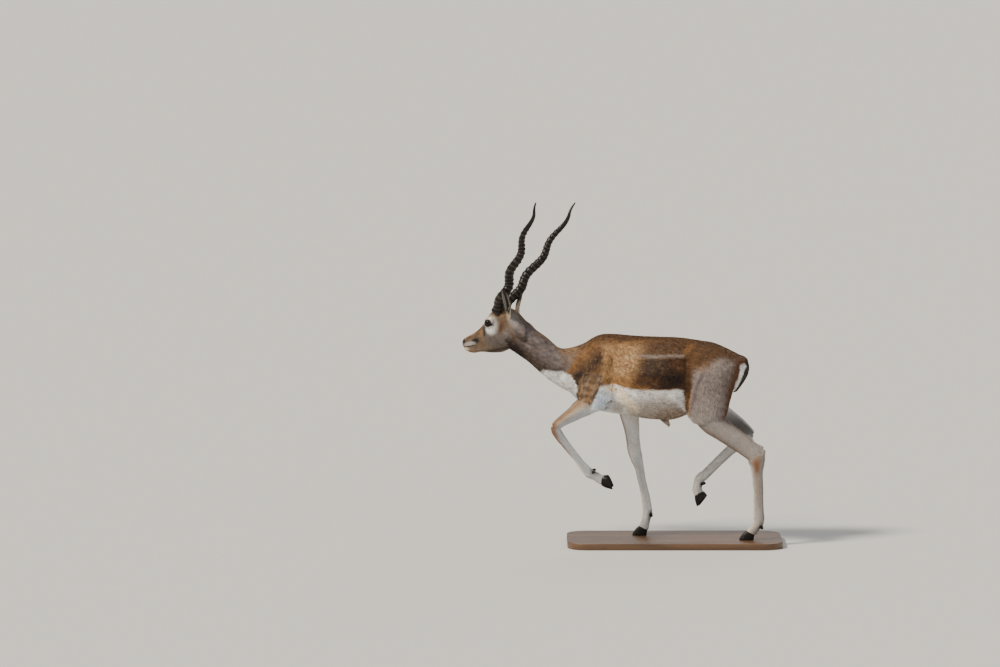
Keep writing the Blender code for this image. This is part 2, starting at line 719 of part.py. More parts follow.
def horn(name, side, grow=0.0):
    """A ringed spiral that leans back and out, smooth at its tip."""
    frame = head_frame()
    foot = Vector(mirrored(HORN_PLACE, side))
    tip = Vector(mirrored(HORN_TIPS[side_word(side)], side))
    out = Vector((0.0, float(side), 0.0))
    back = Vector((-1.0, 0.0, 0.0))
    levels = HORN_RINGS * HORN_STEPS_PER_RING + HORN_SMOOTH_STEPS
    centres = []
    for level in range(levels + 1):
        part = level / levels
        twist = math.tau * (HORN_TURNS * part**0.8 - HORN_PHASE)
        reach = HORN_SWING * min(1.0, part / 0.15) * min(1.0, (1.0 - part) / 0.12)
        bow = HORN_BOW * math.sin(math.pi * part)
        middle = foot.lerp(tip, part) + (back + out) * bow
        centres.append(middle + back * (reach * math.cos(twist)) - out * (reach * math.sin(twist)))
    rings = []
    for level, centre in enumerate(centres):
        part = level / levels
        along = (centres[min(level + 1, levels)] - centres[max(level - 1, 0)]).normalized()
        across = (out - along * out.dot(along)).normalized()
        fore = along.cross(across)
        size = HORN_RADIUS * (1.0 - part**2.2) + HORN_TIP * part
        size += HORN_FLARE * math.exp(-part / HORN_FLARE_REACH)
        if level == levels:
            size *= 0.4
        ringed = min(1.0, max(0.0, (HORN_RINGED_PART - part) / 0.06))
        size *= 1.0 + ringed * (0.07 if level % HORN_STEPS_PER_RING == 1 else -0.05)
        ring = []
        for step in range(HORN_SIDES):
            turn = math.tau * step / HORN_SIDES
            spot = across * math.cos(turn) + fore * math.sin(turn)
            ring.append(frame @ (centre + spot * (size + grow)))
        rings.append(ring)
    if grow:
        rings = rings[: HORN_STEPS_PER_RING * 5]
        lower = (centres[0] - centres[1]).normalized() * grow
        rings[0] = [spot + frame.to_3x3() @ lower for spot in rings[0]]
    return loft(name, rings)


def ear(name, side, grow=0.0):
    """A leaf rolled into a cup, solid at its foot and open to the front and outwards."""
    frame = head_frame()
    foot, tip, facing = (Vector(mirrored(place, side)) for place in EARS[side_word(side)])
    along = (tip - foot).normalized()
    facing = (facing - along * facing.dot(along)).normalized()
    across = along.cross(facing)
    rings = []
    for part, share in smooth_rows(EAR_WIDTHS, 2):
        half = EAR_HALF_WIDTH * share + grow
        depth = half * (0.95 - 0.45 * part)
        wall = min(EAR_WALL, 0.45 * half)
        hollow = min(1.0, max(0.0, (part - EAR_HOLLOW_START) / EAR_HOLLOW_RISE))
        scoop = hollow * (depth - wall) - (1.0 - hollow) * 0.5 * depth
        middle = foot + (tip - foot) * part
        ring = []
        for step in range(8):
            turn = math.pi * (step / 7 - 0.5)
            ring.append(middle + across * (half * math.sin(turn)) - facing * (depth * math.cos(turn)))
        for step in range(6, 0, -1):
            turn = math.pi * (step / 7 - 0.5)
            inner = (half - wall) * math.sin(turn)
            ring.append(middle + across * inner - facing * (scoop * math.cos(turn)))
        rings.append([frame @ spot for spot in ring])
    if grow:
        rings = rings[:6]
        lower = frame.to_3x3() @ (-along * grow)
        rings[0] = [spot + lower for spot in rings[0]]
    return loft(name, rings)


def foot_axes(foot):
    """Middle of a coronet, and the ways to the toe, to the right side and down through the sole."""
    middle, pitch, right = FEET[foot]
    dip = math.radians(pitch)
    right = Vector(right).normalized()
    toe = Vector((-math.cos(dip), 0.0, -math.sin(dip)))
    toe = (toe - right * toe.dot(right)).normalized()
    return Vector(middle), toe, right, toe.cross(right)


def claw(name, foot, side):
    """One half of a cloven hoof: pointed in front, flat below."""
    middle, toe, right, down = foot_axes(foot)
    rings = []
    for part in CLAW_LEVELS:
        front = CLAW_TOP_FRONT + (CLAW_FRONT - CLAW_TOP_FRONT) * part**0.9
        back = -CLAW_TOP_BACK + (CLAW_TOP_BACK - CLAW_BACK) * part
        half = CLAW_HALF_WIDTH * (0.94 + 0.06 * part)
        if part == 1.0:
            front -= CLAW_SOLE_EDGE
            half -= CLAW_SOLE_EDGE / 2
        ring = []
        for step in range(CLAW_STEPS):
            turn = math.tau * step / CLAW_STEPS
            reach = (front + back) / 2 + (front - back) / 2 * math.cos(turn)
            narrow = 1.0 - 0.38 * max(0.0, math.cos(turn)) ** 2
            spread = half * math.copysign(abs(math.sin(turn)) ** 0.8, math.sin(turn)) * narrow
            drop = CLAW_HEIGHT * part - (1.0 - part) * CORONET_TILT * reach
            centre = middle + toe * reach + right * (side * CLAW_SPREAD + spread)
            ring.append(centre + down * (drop + (1.0 - part) * GAP))
        rings.append(ring)
    return loft(name, rings)


def dewclaw(name, foot, side, grow=0.0):
    middle, pitch = DEWCLAWS[foot]
    right = foot_axes(foot)[2]
    place = Matrix.Translation(Vector(middle) + right * (side * DEWCLAW_SPREAD))
    turn = Matrix.Rotation(math.radians(-pitch), 4, "Y")
    size = tuple(edge + grow for edge in DEWCLAW_SCALE)
    return ball(name, (0.0, 0.0, 0.0), 1.0, place @ turn, size, around=8, levels=6)


def nostril(name, side):
    frame = head_frame() @ Matrix.Translation(mirrored(NOSTRIL, side))
    turn = Matrix.Rotation(math.radians(side * 38.0), 4, "Z") @ Matrix.Rotation(math.radians(-35.0), 4, "Y")
    return ball(name, (0.0, 0.0, 0.0), 1.0, frame @ turn, NOSTRIL_SCALE, around=10, levels=6)


def swelling(name, side, place, size, tilt):
    frame = head_frame() @ Matrix.Translation(mirrored(place, side))
    turn = Matrix.Rotation(math.radians(tilt), 4, "Y")
    return ball(name, (0.0, 0.0, 0.0), 1.0, frame @ turn, size)


def flesh_parts():
    parts = [
        limb("part", stations)
        for stations in (
            NECK,
            THIGH_LEFT,
            GASKIN_LEFT,
            SHANK_LEFT,
            HEEL_LEFT,
            TENDON_LEFT,
            PASTERN_LEFT_HIND,
            THIGH_RIGHT,
            GASKIN_RIGHT,
            SHANK_RIGHT,
            HEEL_RIGHT,
            TENDON_RIGHT,
            PASTERN_RIGHT_HIND,
            SHOULDER_LEFT,
            FOREARM_LEFT,
            SHANK_LEFT_FORE,
            PASTERN_LEFT_FORE,
            SHOULDER_RIGHT,
            FOREARM_RIGHT,
            SHANK_RIGHT_FORE,
            PASTERN_RIGHT_FORE,
            SHEATH,
        )
    ]
    return [*parts, trunk("part"), head_loft("part")]


def split_flesh(thing):
    """Makes an object of each cut piece that holds a named point, and drops the rest."""
    body = bmesh.new()
    body.from_mesh(thing.data)
    pieces = pieces_of(body)
    found = {}
    for name, spot in FLESH_NODES.items():
        spot = Vector(spot)
        piece = min(pieces, key=lambda some: min((vertex.co - spot).length for vertex in some))
        points = sorted(piece, key=lambda vertex: vertex.index)
        number = {vertex: index for index, vertex in enumerate(points)}
        faces = [face for face in body.faces if face.verts[0] in piece]
        found[name] = add_object(
            name,
            [vertex.co for vertex in points],
            [[number[vertex] for vertex in face.verts] for face in faces],
        )
    body.free()
    bpy.data.objects.remove(thing, do_unlink=True)
    return found


def make_flesh():
    thing = fuse(merge("flesh", flesh_parts()), FLESH_VOXEL, 8)
    thin_out(thing, FLESH_TRIANGLES)
    coronets = []
    for foot in FEET:
        middle, toe, right, down = foot_axes(foot)
        coronets.append((middle, toe * CORONET_TILT + down, CORONET_CUT))
    for place in [*CUTS, *coronets]:
        cut(thing, slab("slab", *place))
    found = split_flesh(thing)
    cut(found["torso"], limb("hole", TAIL, GAP, steps=3, around=14))
    for foot in FEET:
        limb_name = foot.replace("hind", "pastern_hind").replace("fore", "pastern_fore")
        for side in (-1, 1):
            cut(found[limb_name], dewclaw("hole", foot, side, GAP))
    return found


def make_head():
    parts = [head_loft("part"), limb("part", NECK)]
    for side in (-1, 1):
        parts.append(eye("lid", side, LID_THICKNESS))
        for bulge in (EYE_SOCKET, CHEEK, CHEEKBONE):
            parts.append(swelling("part", side, *bulge))
    thing = fuse(merge("head", parts), HEAD_VOXEL, 4)
    weights = carve_head(thing)
    thin_out(thing, HEAD_TRIANGLES, weights)
    cut(thing, slab("slab", *CUTS[1]))
    body = bmesh.new()
    body.from_mesh(thing.data)
    target = head_frame() @ Vector((0.12, 0.0, -0.04))
    pieces = pieces_of(body)
    kept = min(pieces, key=lambda some: min((vertex.co - target).length for vertex in some))
    extra = [vertex for vertex in body.verts if vertex not in kept]
    bmesh.ops.delete(body, geom=extra, context="VERTS")
    body.to_mesh(thing.data)
    body.free()
    for side in (-1, 1):
        cut(thing, eye_opening("hole", side))
        cut(thing, eye("hole", side, GAP))
        cut(thing, nostril("hole", side))
        cut(thing, ear("hole", side, GAP))
        cut(thing, horn("hole", side, GAP))
    keep_largest(thing)
    return thing


def make_base():
    """A plate with rounded ends and eased edges."""
    outline = []
    for step in range(48):
        turn = math.tau * step / 48
        across = math.copysign(abs(math.cos(turn)) ** 0.45, math.cos(turn))
        over = math.copysign(abs(math.sin(turn)) ** 0.45, math.sin(turn))
        outline.append((across, over))
    rings = []
    for height, inset in (
        (0.0, BASE_BEVEL),
        (BASE_BEVEL, 0.0),
        (BASE_THICKNESS - BASE_BEVEL, 0.0),
        (BASE_THICKNESS, BASE_BEVEL),
    ):
        rings.append(
            [
                Vector(
                    (
                        across * (BASE_LENGTH / 2 - inset),
                        over * (BASE_WIDTH / 2 - inset),
                        height - BASE_THICKNESS - GAP,
                    )
                )
                for across, over in outline
            ]
        )
    return loft("stand_base", rings)


def main():
    clear_scene()
    coat = paint("coat", (0.30, 0.17, 0.09), 0.85)
    pale_coat = paint("pale_coat", (0.62, 0.58, 0.52), 0.85)
    keratin = paint("horn", (0.035, 0.030, 0.028), 0.45)
    eyeball = paint("eye", (0.015, 0.010, 0.008), 0.06)
    wood = paint("wood", (0.24, 0.12, 0.05), 0.45)
    nodes = [(thing, coat) for thing in make_flesh().values()]
    nodes.append((make_head(), coat))
    nodes.append((limb("tail", TAIL, steps=3, around=14), coat))
    for side in (-1, 1):
        word = side_word(side)
        nodes.append((eye("eye_" + word, side), eyeball))
        nodes.append((horn("horn_" + word, side), keratin))
        nodes.append((ear("ear_" + word, side), coat))
        for foot in FEET:
            toward = "outer" if foot.endswith(word) else "inner"
            nodes.append((claw("claw_" + foot + "_" + toward, foot, side), keratin))
            nodes.append((dewclaw("dewclaw_" + foot + "_" + toward, foot, side), keratin))
    nodes.append((make_base(), wood))
    for thing, material in nodes:
        if "shank" in thing.name or "pastern" in thing.name:
            material = pale_coat
        thing.data.materials.clear()
        thing.data.materials.append(material)
        lift = Matrix.Translation((0.0, 0.0, BASE_THICKNESS + GAP))
        thing.data.transform(lift)
        smooth = not thing.name.startswith("stand")
        thing.data.polygons.foreach_set("use_smooth", [smooth] * len(thing.data.polygons))


main()
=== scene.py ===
# A male blackbuck at a walk on a low wooden base: skin, coat, horns, hooves and eyes.
# Metres, +Z up. The animal faces -X and its left side is towards -Y.

import math
from types import SimpleNamespace

import bmesh
import bpy
import numpy as np
from mathutils import Matrix, Vector, kdtree


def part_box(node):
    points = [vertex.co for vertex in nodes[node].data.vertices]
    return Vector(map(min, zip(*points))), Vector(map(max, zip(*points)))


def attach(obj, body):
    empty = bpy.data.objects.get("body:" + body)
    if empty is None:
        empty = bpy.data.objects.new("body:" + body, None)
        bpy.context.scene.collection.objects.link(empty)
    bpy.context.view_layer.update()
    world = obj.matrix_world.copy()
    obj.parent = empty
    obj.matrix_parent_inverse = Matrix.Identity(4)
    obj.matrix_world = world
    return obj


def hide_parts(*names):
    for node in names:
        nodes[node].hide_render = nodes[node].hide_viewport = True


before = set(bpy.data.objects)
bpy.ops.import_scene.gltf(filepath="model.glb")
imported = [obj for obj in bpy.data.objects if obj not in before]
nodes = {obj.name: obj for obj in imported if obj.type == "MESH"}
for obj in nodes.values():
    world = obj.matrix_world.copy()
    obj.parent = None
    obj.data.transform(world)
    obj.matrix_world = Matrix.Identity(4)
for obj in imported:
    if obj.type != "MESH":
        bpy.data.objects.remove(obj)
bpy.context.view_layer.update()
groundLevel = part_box("stand_base")[1].z + 0.0003
upWay = Vector((0.0, 0.0, 1.0))
sideWay = Vector((0.0, 1.0, 0.0))

# where the head sits on the neck and how it turns away from the left side
headPose = {"pivot": Vector((-0.621, 0.01, 0.833)), "yaw": 23.0, "roll": 2.5}

# trunk: x, top, bottom, half width, how low the widest level lies
trunkRows = [
    (-0.418, 0.69, 0.592, 0.036, 0.0),
    (-0.388, 0.732, 0.552, 0.062, 0.0),
    (-0.342, 0.772, 0.52, 0.086, 0.05),
    (-0.29, 0.799, 0.5, 0.101, 0.12),
    (-0.235, 0.801, 0.49, 0.112, 0.18),
    (-0.18, 0.796, 0.484, 0.122, 0.18),
    (-0.12, 0.792, 0.471, 0.13, 0.16),
    (-0.06, 0.79, 0.466, 0.133, 0.14),
    (0.0, 0.788, 0.468, 0.13, 0.1),
    (0.05, 0.783, 0.487, 0.119, 0.05),
    (0.1, 0.775, 0.52, 0.109, 0.0),
    (0.15, 0.767, 0.545, 0.105, -0.05),
    (0.2, 0.746, 0.56, 0.095, -0.05),
    (0.245, 0.723, 0.59, 0.072, 0.0),
    (0.282, 0.703, 0.64, 0.034, 0.0),
]

# x, y, z, half depth fore and aft, half width
neckRows = [
    (-0.305, 0.0, 0.662, 0.118, 0.084),
    (-0.376, 0.0, 0.662, 0.098, 0.074),
    (-0.439, 0.0, 0.6745, 0.075, 0.057),
    (-0.4875, 0.0, 0.699, 0.06, 0.049),
    (-0.536, 0.002, 0.741, 0.059, 0.045),
    (-0.578, 0.005, 0.7695, 0.06, 0.044),
    (-0.61, 0.009, 0.796, 0.065, 0.044),
    (-0.648, 0.014, 0.826, 0.055, 0.04),
]
legRows = {
    "thighLeft": [
        (0.165, -0.03, 0.722, 0.045, 0.034),
        (0.151, -0.058, 0.67, 0.087, 0.055),
        (0.133, -0.074, 0.61, 0.095, 0.056),
        (0.124, -0.085, 0.545, 0.0875, 0.05),
        (0.1205, -0.09, 0.497, 0.078, 0.044),
        (0.12, -0.09, 0.462, 0.05, 0.036),
    ],
    "gaskinLeft": [
        (0.11, -0.09, 0.495, 0.045, 0.036),
        (0.145, -0.089, 0.462, 0.047, 0.036),
        (0.182, -0.086, 0.434, 0.042, 0.032),
        (0.239, -0.081, 0.394, 0.0395, 0.026),
        (0.276, -0.078, 0.367, 0.037, 0.022),
        (0.306, -0.076, 0.341, 0.034, 0.021),
        (0.321, -0.075, 0.322, 0.029, 0.02),
    ],
    "shankLeft": [
        (0.319, -0.075, 0.338, 0.031, 0.021),
        (0.3175, -0.075, 0.315, 0.0335, 0.0215),
        (0.3195, -0.075, 0.292, 0.0275, 0.02),
        (0.3192, -0.074, 0.27, 0.0235, 0.0165),
        (0.3217, -0.073, 0.234, 0.021, 0.0145),
        (0.3245, -0.072, 0.195, 0.02, 0.014),
        (0.3257, -0.071, 0.156, 0.019, 0.0138),
        (0.327, -0.07, 0.117, 0.0195, 0.0148),
        (0.3285, -0.07, 0.08, 0.0215, 0.017),
    ],
    "heelLeft": [
        (0.331, -0.075, 0.306, 0.016, 0.014),
        (0.336, -0.076, 0.331, 0.014, 0.012),
        (0.343, -0.076, 0.355, 0.01, 0.009),
    ],
    "tendonLeft": [
        (0.262, -0.08, 0.404, 0.016, 0.01),
        (0.3, -0.077, 0.378, 0.012, 0.008),
        (0.341, -0.076, 0.358, 0.01, 0.008),
    ],
    "pasternLeftHind": [
        (0.329, -0.07, 0.088, 0.0195, 0.0165),
        (0.327, -0.07, 0.068, 0.0195, 0.0175),
        (0.316, -0.07, 0.05, 0.017, 0.0165),
        (0.304, -0.07, 0.036, 0.0185, 0.018),
        (0.2985, -0.07, 0.0273, 0.0188, 0.0188),
        (0.2968, -0.07, 0.0237, 0.015, 0.0165),
    ],
    "thighRight": [
        (0.165, 0.03, 0.722, 0.045, 0.034),
        (0.148, 0.058, 0.67, 0.088, 0.055),
        (0.127, 0.074, 0.612, 0.098, 0.056),
        (0.112, 0.086, 0.56, 0.086, 0.05),
        (0.1, 0.092, 0.525, 0.068, 0.044),
        (0.094, 0.092, 0.5, 0.046, 0.036),
    ],
    "gaskinRight": [
        (0.082, 0.092, 0.535, 0.042, 0.036),
        (0.117, 0.091, 0.52, 0.05, 0.036),
        (0.16, 0.089, 0.489, 0.047, 0.034),
        (0.205, 0.086, 0.456, 0.042, 0.029),
        (0.247, 0.082, 0.427, 0.038, 0.024),
        (0.283, 0.078, 0.4, 0.031, 0.02),
        (0.299, 0.076, 0.386, 0.025, 0.019),
    ],
    "shankRight": [
        (0.302, 0.076, 0.388, 0.027, 0.0205),
        (0.283, 0.075, 0.377, 0.028, 0.0205),
        (0.262, 0.075, 0.366, 0.024, 0.019),
        (0.238, 0.073, 0.348, 0.021, 0.0155),
        (0.2087, 0.071, 0.323, 0.0197, 0.0142),
        (0.1689, 0.069, 0.2849, 0.0187, 0.0138),
        (0.1295, 0.067, 0.2456, 0.0185, 0.0148),
        (0.113, 0.065, 0.23, 0.019, 0.0165),
    ],
    "heelRight": [
        (0.279, 0.075, 0.37, 0.016, 0.014),
        (0.296, 0.075, 0.387, 0.014, 0.012),
        (0.305, 0.075, 0.397, 0.01, 0.009),
    ],
    "tendonRight": [
        (0.258, 0.08, 0.434, 0.014, 0.01),
        (0.285, 0.077, 0.416, 0.01, 0.008),
        (0.302, 0.076, 0.4, 0.009, 0.008),
    ],
    "pasternRightHind": [
        (0.115, 0.065, 0.234, 0.019, 0.0165),
        (0.102, 0.065, 0.221, 0.0195, 0.0172),
        (0.095, 0.064, 0.201, 0.0178, 0.0165),
        (0.0912, 0.063, 0.182, 0.0185, 0.0175),
        (0.0962, 0.063, 0.1655, 0.0188, 0.0185),
        (0.0982, 0.063, 0.1605, 0.015, 0.0165),
    ],
    "shoulderLeft": [
        (-0.258, -0.03, 0.758, 0.026, 0.024),
        (-0.27, -0.058, 0.715, 0.052, 0.038),
        (-0.29, -0.074, 0.655, 0.064, 0.042),
        (-0.307, -0.082, 0.6, 0.068, 0.043),
        (-0.318, -0.086, 0.553, 0.06, 0.04),
        (-0.322, -0.087, 0.52, 0.044, 0.034),
    ],
    "forearmLeft": [
        (-0.3, -0.087, 0.54, 0.03, 0.03),
        (-0.338, -0.087, 0.533, 0.038, 0.034),
        (-0.3695, -0.086, 0.518, 0.0365, 0.031),
        (-0.395, -0.085, 0.4985, 0.029, 0.0265),
        (-0.4253, -0.083, 0.479, 0.0235, 0.0215),
        (-0.4535, -0.08, 0.4585, 0.0195, 0.019),
        (-0.4665, -0.079, 0.444, 0.019, 0.0185),
    ],
    "shankLeftFore": [
        (-0.4665, -0.079, 0.448, 0.0185, 0.018),
        (-0.4625, -0.079, 0.429, 0.019, 0.018),
        (-0.4475, -0.078, 0.4045, 0.0178, 0.016),
        (-0.43, -0.077, 0.3815, 0.0162, 0.0138),
        (-0.4128, -0.076, 0.3597, 0.0153, 0.0128),
        (-0.3939, -0.074, 0.3358, 0.0147, 0.0122),
        (-0.3786, -0.073, 0.316, 0.0145, 0.0122),
        (-0.3615, -0.072, 0.2936, 0.016, 0.0135),
        (-0.3432, -0.071, 0.2722, 0.0188, 0.0158),
    ],
    "pasternLeftFore": [
        (-0.344, -0.071, 0.2735, 0.0188, 0.0158),
        (-0.3355, -0.07, 0.263, 0.019, 0.0165),
        (-0.312, -0.07, 0.252, 0.0172, 0.016),
        (-0.296, -0.07, 0.242, 0.0175, 0.0172),
        (-0.2845, -0.07, 0.235, 0.0178, 0.0178),
        (-0.28, -0.07, 0.2335, 0.0145, 0.016),
    ],
    "shoulderRight": [
        (-0.252, 0.03, 0.758, 0.026, 0.024),
        (-0.256, 0.058, 0.715, 0.052, 0.038),
        (-0.264, 0.074, 0.655, 0.064, 0.042),
        (-0.262, 0.082, 0.6, 0.068, 0.043),
        (-0.24, 0.086, 0.55, 0.062, 0.041),
        (-0.208, 0.086, 0.515, 0.05, 0.036),
    ],
    "forearmRight": [
        (-0.192, 0.085, 0.545, 0.034, 0.03),
        (-0.182, 0.084, 0.5, 0.038, 0.034),
        (-0.1716, 0.08, 0.455, 0.0345, 0.029),
        (-0.1655, 0.077, 0.4157, 0.0295, 0.0245),
        (-0.1609, 0.074, 0.3764, 0.0265, 0.0215),
        (-0.156, 0.071, 0.3372, 0.0262, 0.0205),
        (-0.1475, 0.069, 0.305, 0.024, 0.0195),
    ],
    "shankRightFore": [
        (-0.15, 0.069, 0.318, 0.0245, 0.0195),
        (-0.1455, 0.069, 0.298, 0.023, 0.0188),
        (-0.1395, 0.068, 0.2784, 0.0195, 0.0162),
        (-0.134, 0.068, 0.2588, 0.0172, 0.014),
        (-0.1268, 0.066, 0.2195, 0.016, 0.0128),
        (-0.1174, 0.065, 0.18, 0.016, 0.0126),
        (-0.1092, 0.064, 0.141, 0.017, 0.0134),
        (-0.1035, 0.062, 0.1, 0.0178, 0.0158),
    ],
    "pasternRightFore": [
        (-0.1025, 0.062, 0.105, 0.0175, 0.0155),
        (-0.104, 0.062, 0.085, 0.018, 0.0165),
        (-0.108, 0.061, 0.063, 0.0162, 0.0155),
        (-0.1135, 0.06, 0.042, 0.0175, 0.0175),
        (-0.1178, 0.06, 0.0282, 0.0185, 0.0188),
        (-0.1195, 0.06, 0.024, 0.015, 0.0165),
    ],
}
tailRows = [
    (0.236, 0.0, 0.706, 0.014, 0.016),
    (0.262, 0.0, 0.698, 0.017, 0.019),
    (0.271, 0.0, 0.672, 0.018, 0.021),
    (0.266, 0.0, 0.64, 0.016, 0.02),
    (0.253, 0.0, 0.608, 0.01, 0.014),
    (0.237, 0.0, 0.575, 0.004, 0.006),
]
sheathRows = [
    (-0.055, 0.0, 0.478, 0.013, 0.015),
    (-0.038, 0.0, 0.463, 0.0105, 0.0105),
    (-0.028, 0.0, 0.451, 0.007, 0.0065),
    (-0.0225, 0.0, 0.44, 0.0035, 0.003),
]

# head: upper edge forward and up, lower edge forward and up, half width, squareness, low
headRows = [
    (0.221, -0.07, 0.217, -0.092, 0.013, 0.95, 0.0),
    (0.218, -0.061, 0.212, -0.102, 0.0195, 0.9, 0.0),
    (0.203, -0.052, 0.199, -0.11, 0.0235, 0.85, 0.0),
    (0.182, -0.041, 0.176, -0.115, 0.0235, 0.85, 0.02),
    (0.161, -0.027, 0.15, -0.11, 0.025, 0.85, 0.05),
    (0.143, -0.01, 0.127, -0.109, 0.03, 0.85, 0.05),
    (0.126, 0.009, 0.098, -0.11, 0.037, 0.85, 0.0),
    (0.117, 0.023, 0.075, -0.109, 0.042, 0.88, -0.1),
    (0.108, 0.038, 0.054, -0.106, 0.044, 0.9, -0.15),
    (0.096, 0.052, 0.038, -0.099, 0.044, 0.9, -0.15),
    (0.073, 0.065, 0.022, -0.092, 0.043, 0.9, -0.12),
    (0.042, 0.069, 0.004, -0.086, 0.043, 0.92, -0.05),
    (0.008, 0.061, -0.018, -0.084, 0.044, 0.95, 0.0),
    (-0.022, 0.038, -0.044, -0.08, 0.041, 1.0, 0.0),
    (-0.048, 0.01, -0.06, -0.07, 0.035, 1.0, 0.0),
]


def report(words):
    print("blackbuck:", words, flush=True)


def linkObject(name, mesh):
    thing = bpy.data.objects.new(name, mesh)
    bpy.context.scene.collection.objects.link(thing)
    return thing


def meshFromArrays(name, points, faces):
    points = np.asarray(points, np.float32).reshape(-1, 3)
    faces = np.asarray(faces, np.int32)
    sides = faces.shape[1]
    mesh = bpy.data.meshes.new(name)
    mesh.vertices.add(len(points))
    mesh.vertices.foreach_set("co", points.ravel())
    mesh.loops.add(faces.size)
    mesh.loops.foreach_set("vertex_index", faces.ravel())
    mesh.polygons.add(len(faces))
    mesh.polygons.foreach_set("loop_start", np.arange(0, faces.size, sides, dtype=np.int32))
    mesh.update(calc_edges=True)
    mesh.validate()
    return mesh


def readPoints(mesh, key="co"):
    values = np.empty(len(mesh.vertices) * 3, np.float32)
    mesh.vertices.foreach_get(key, values)
    return values.reshape(-1, 3).astype(float)


def readNormals(mesh):
    return readPoints(mesh, "normal")


def writePoints(mesh, points):
    mesh.vertices.foreach_set("co", points.astype(np.float32).ravel())
    mesh.update()


def edgePairs(mesh):
    edges = np.empty(len(mesh.edges) * 2, np.int32)
    mesh.edges.foreach_get("vertices", edges)
    return edges.reshape(-1, 2)


def neighbourMean(edges, values):
    count = len(values)
    flat = values.reshape(count, -1)
    links = np.bincount(edges.ravel(), minlength=count)
    total = np.empty_like(flat)
    for column in range(flat.shape[1]):
        total[:, column] = np.bincount(edges[:, 0], flat[edges[:, 1], column], count)
        total[:, column] += np.bincount(edges[:, 1], flat[edges[:, 0], column], count)
    return (total / np.maximum(links, 1)[:, None]).reshape(values.shape)


def selectOnly(thing):
    bpy.ops.object.select_all(action="DESELECT")
    thing.select_set(True)
    bpy.context.view_layer.objects.active = thing


def applyModifiers(thing):
    selectOnly(thing)
    for modifier in list(thing.modifiers):
        bpy.ops.object.modifier_apply(modifier=modifier.name)


def outward(thing):
    selectOnly(thing)
    bpy.ops.object.mode_set(mode="EDIT")
    bpy.ops.mesh.select_all(action="SELECT")
    bpy.ops.mesh.normals_make_consistent(inside=False)
    bpy.ops.object.mode_set(mode="OBJECT")


def smoothShade(thing):
    thing.data.polygons.foreach_set("use_smooth", [True] * len(thing.data.polygons))


def smoothStep(value, low, high):
    part = np.clip((value - low) / (high - low), 0.0, 1.0)
    return part * part * (3.0 - 2.0 * part)


def fade(value, low, high):
    return 1.0 - smoothStep(value, low, high)


def rowLengths(rows):
    return np.linalg.norm(rows, axis=1)


def smoothRows(rows, steps):
    table = np.array(rows, float)
    ends = np.vstack([2 * table[0] - table[1], table, 2 * table[-1] - table[-2]])
    found = []
    for index in range(1, len(table)):
        before, start, stop, after = ends[index - 1 : index + 3]
        for step in range(steps):
            part = step / steps
            found.append(
                start
                + 0.5 * part * (stop - before)
                + part**2 * (before - 2.5 * start + 2 * stop - 0.5 * after)
                + part**3 * (1.5 * (start - stop) + 0.5 * (after - before))
            )
    found.append(table[-1])
    return np.array(found)


# every lofted form keeps its rings, so that the coat knows its lie and its place on the unwrap
forms = {}


def loft(name, rings, form=None):
    rings = np.array([[tuple(spot) for spot in ring] for ring in rings], float)
    levels, count = rings.shape[:2]
    faces = []
    for level in range(levels - 1):
        low = level * count
        for index in range(count):
            after = (index + 1) % count
            faces.append((low + index, low + after, low + count + after, low + count + index))
    mesh = bpy.data.meshes.new(name)
    last = (levels - 1) * count
    faces.append(tuple(range(count)))
    faces.append(tuple(range(last, last + count)))
    mesh.from_pydata(rings.reshape(-1, 3).tolist(), [], faces)
    thing = linkObject(name, mesh)
    outward(thing)
    if form:
        forms[form] = rings
    return thing


def limbRings(stations, grow=0.0, steps=6, around=24):
    rows = smoothRows(stations, steps)
    centres = [Vector(row[:3]) + upWay * groundLevel for row in rows]
    rings = []
    for index, row in enumerate(rows):
        along = centres[min(index + 1, len(rows) - 1)] - centres[max(index - 1, 0)]
        along.normalize()
        side = (sideWay - along * sideWay.dot(along)).normalized()
        depth = along.cross(side)
        turns = [math.tau * step / around for step in range(around)]
        rings.append(
            [
                centres[index]
                + depth * ((row[3] + grow) * math.cos(turn))
                + side * ((row[4] + grow) * math.sin(turn))
                for turn in turns
            ]
        )
    return rings


def trunkRings(grow=0.0, steps=5, around=48):
    rings = []
    for along, top, bottom, half, low in smoothRows(trunkRows, steps):
        middle = (top + bottom) / 2 + groundLevel
        height = (top - bottom) / 2 + grow
        ring = []
        for step in range(around):
            turn = math.tau * step / around
            rise = math.cos(turn) - low * math.sin(turn) ** 2
            ring.append(Vector((along, (half + grow) * math.sin(turn), middle + height * rise)))
        rings.append(ring)
    return rings


def makeHeadFrame():
    yaw = math.radians(headPose["yaw"])
    ahead = Vector((-math.cos(yaw), math.sin(yaw), 0.0))
    right = Vector((math.sin(yaw), math.cos(yaw), 0.0))
    roll = Matrix.Rotation(math.radians(headPose["roll"]), 3, ahead)
    columns = (ahead, roll @ right, roll @ upWay)
    found = Matrix([[column[row] for column in columns] for row in range(3)]).to_4x4()
    found.translation = headPose["pivot"] + upWay * groundLevel
    return found


headFrame = makeHeadFrame()
headArray = np.array(headFrame)
headBack = np.array(headFrame.inverted())


def headLocal(points):
    return points @ headBack[:3, :3].T + headBack[:3, 3]


def headRings(grow=0.0, steps=6, around=40):
    rings = []
    for front, top, back, bottom, half, power, low in smoothRows(headRows, steps):
        middle = Vector(((front + back) / 2, 0.0, (top + bottom) / 2))
        height = Vector(((front - back) / 2, 0.0, (top - bottom) / 2))
        height *= 1.0 + grow / height.length
        ring = []
        for step in range(around):
            turn = math.tau * step / around
            across = math.copysign(abs(math.sin(turn)) ** power, math.sin(turn))
            rise = math.copysign(abs(math.cos(turn)) ** power, math.cos(turn))
            rise -= low * across * across
            place = middle + height * rise + Vector((0.0, (half + grow) * across, 0.0))
            ring.append(headFrame @ place)
        rings.append(ring)
    return rings


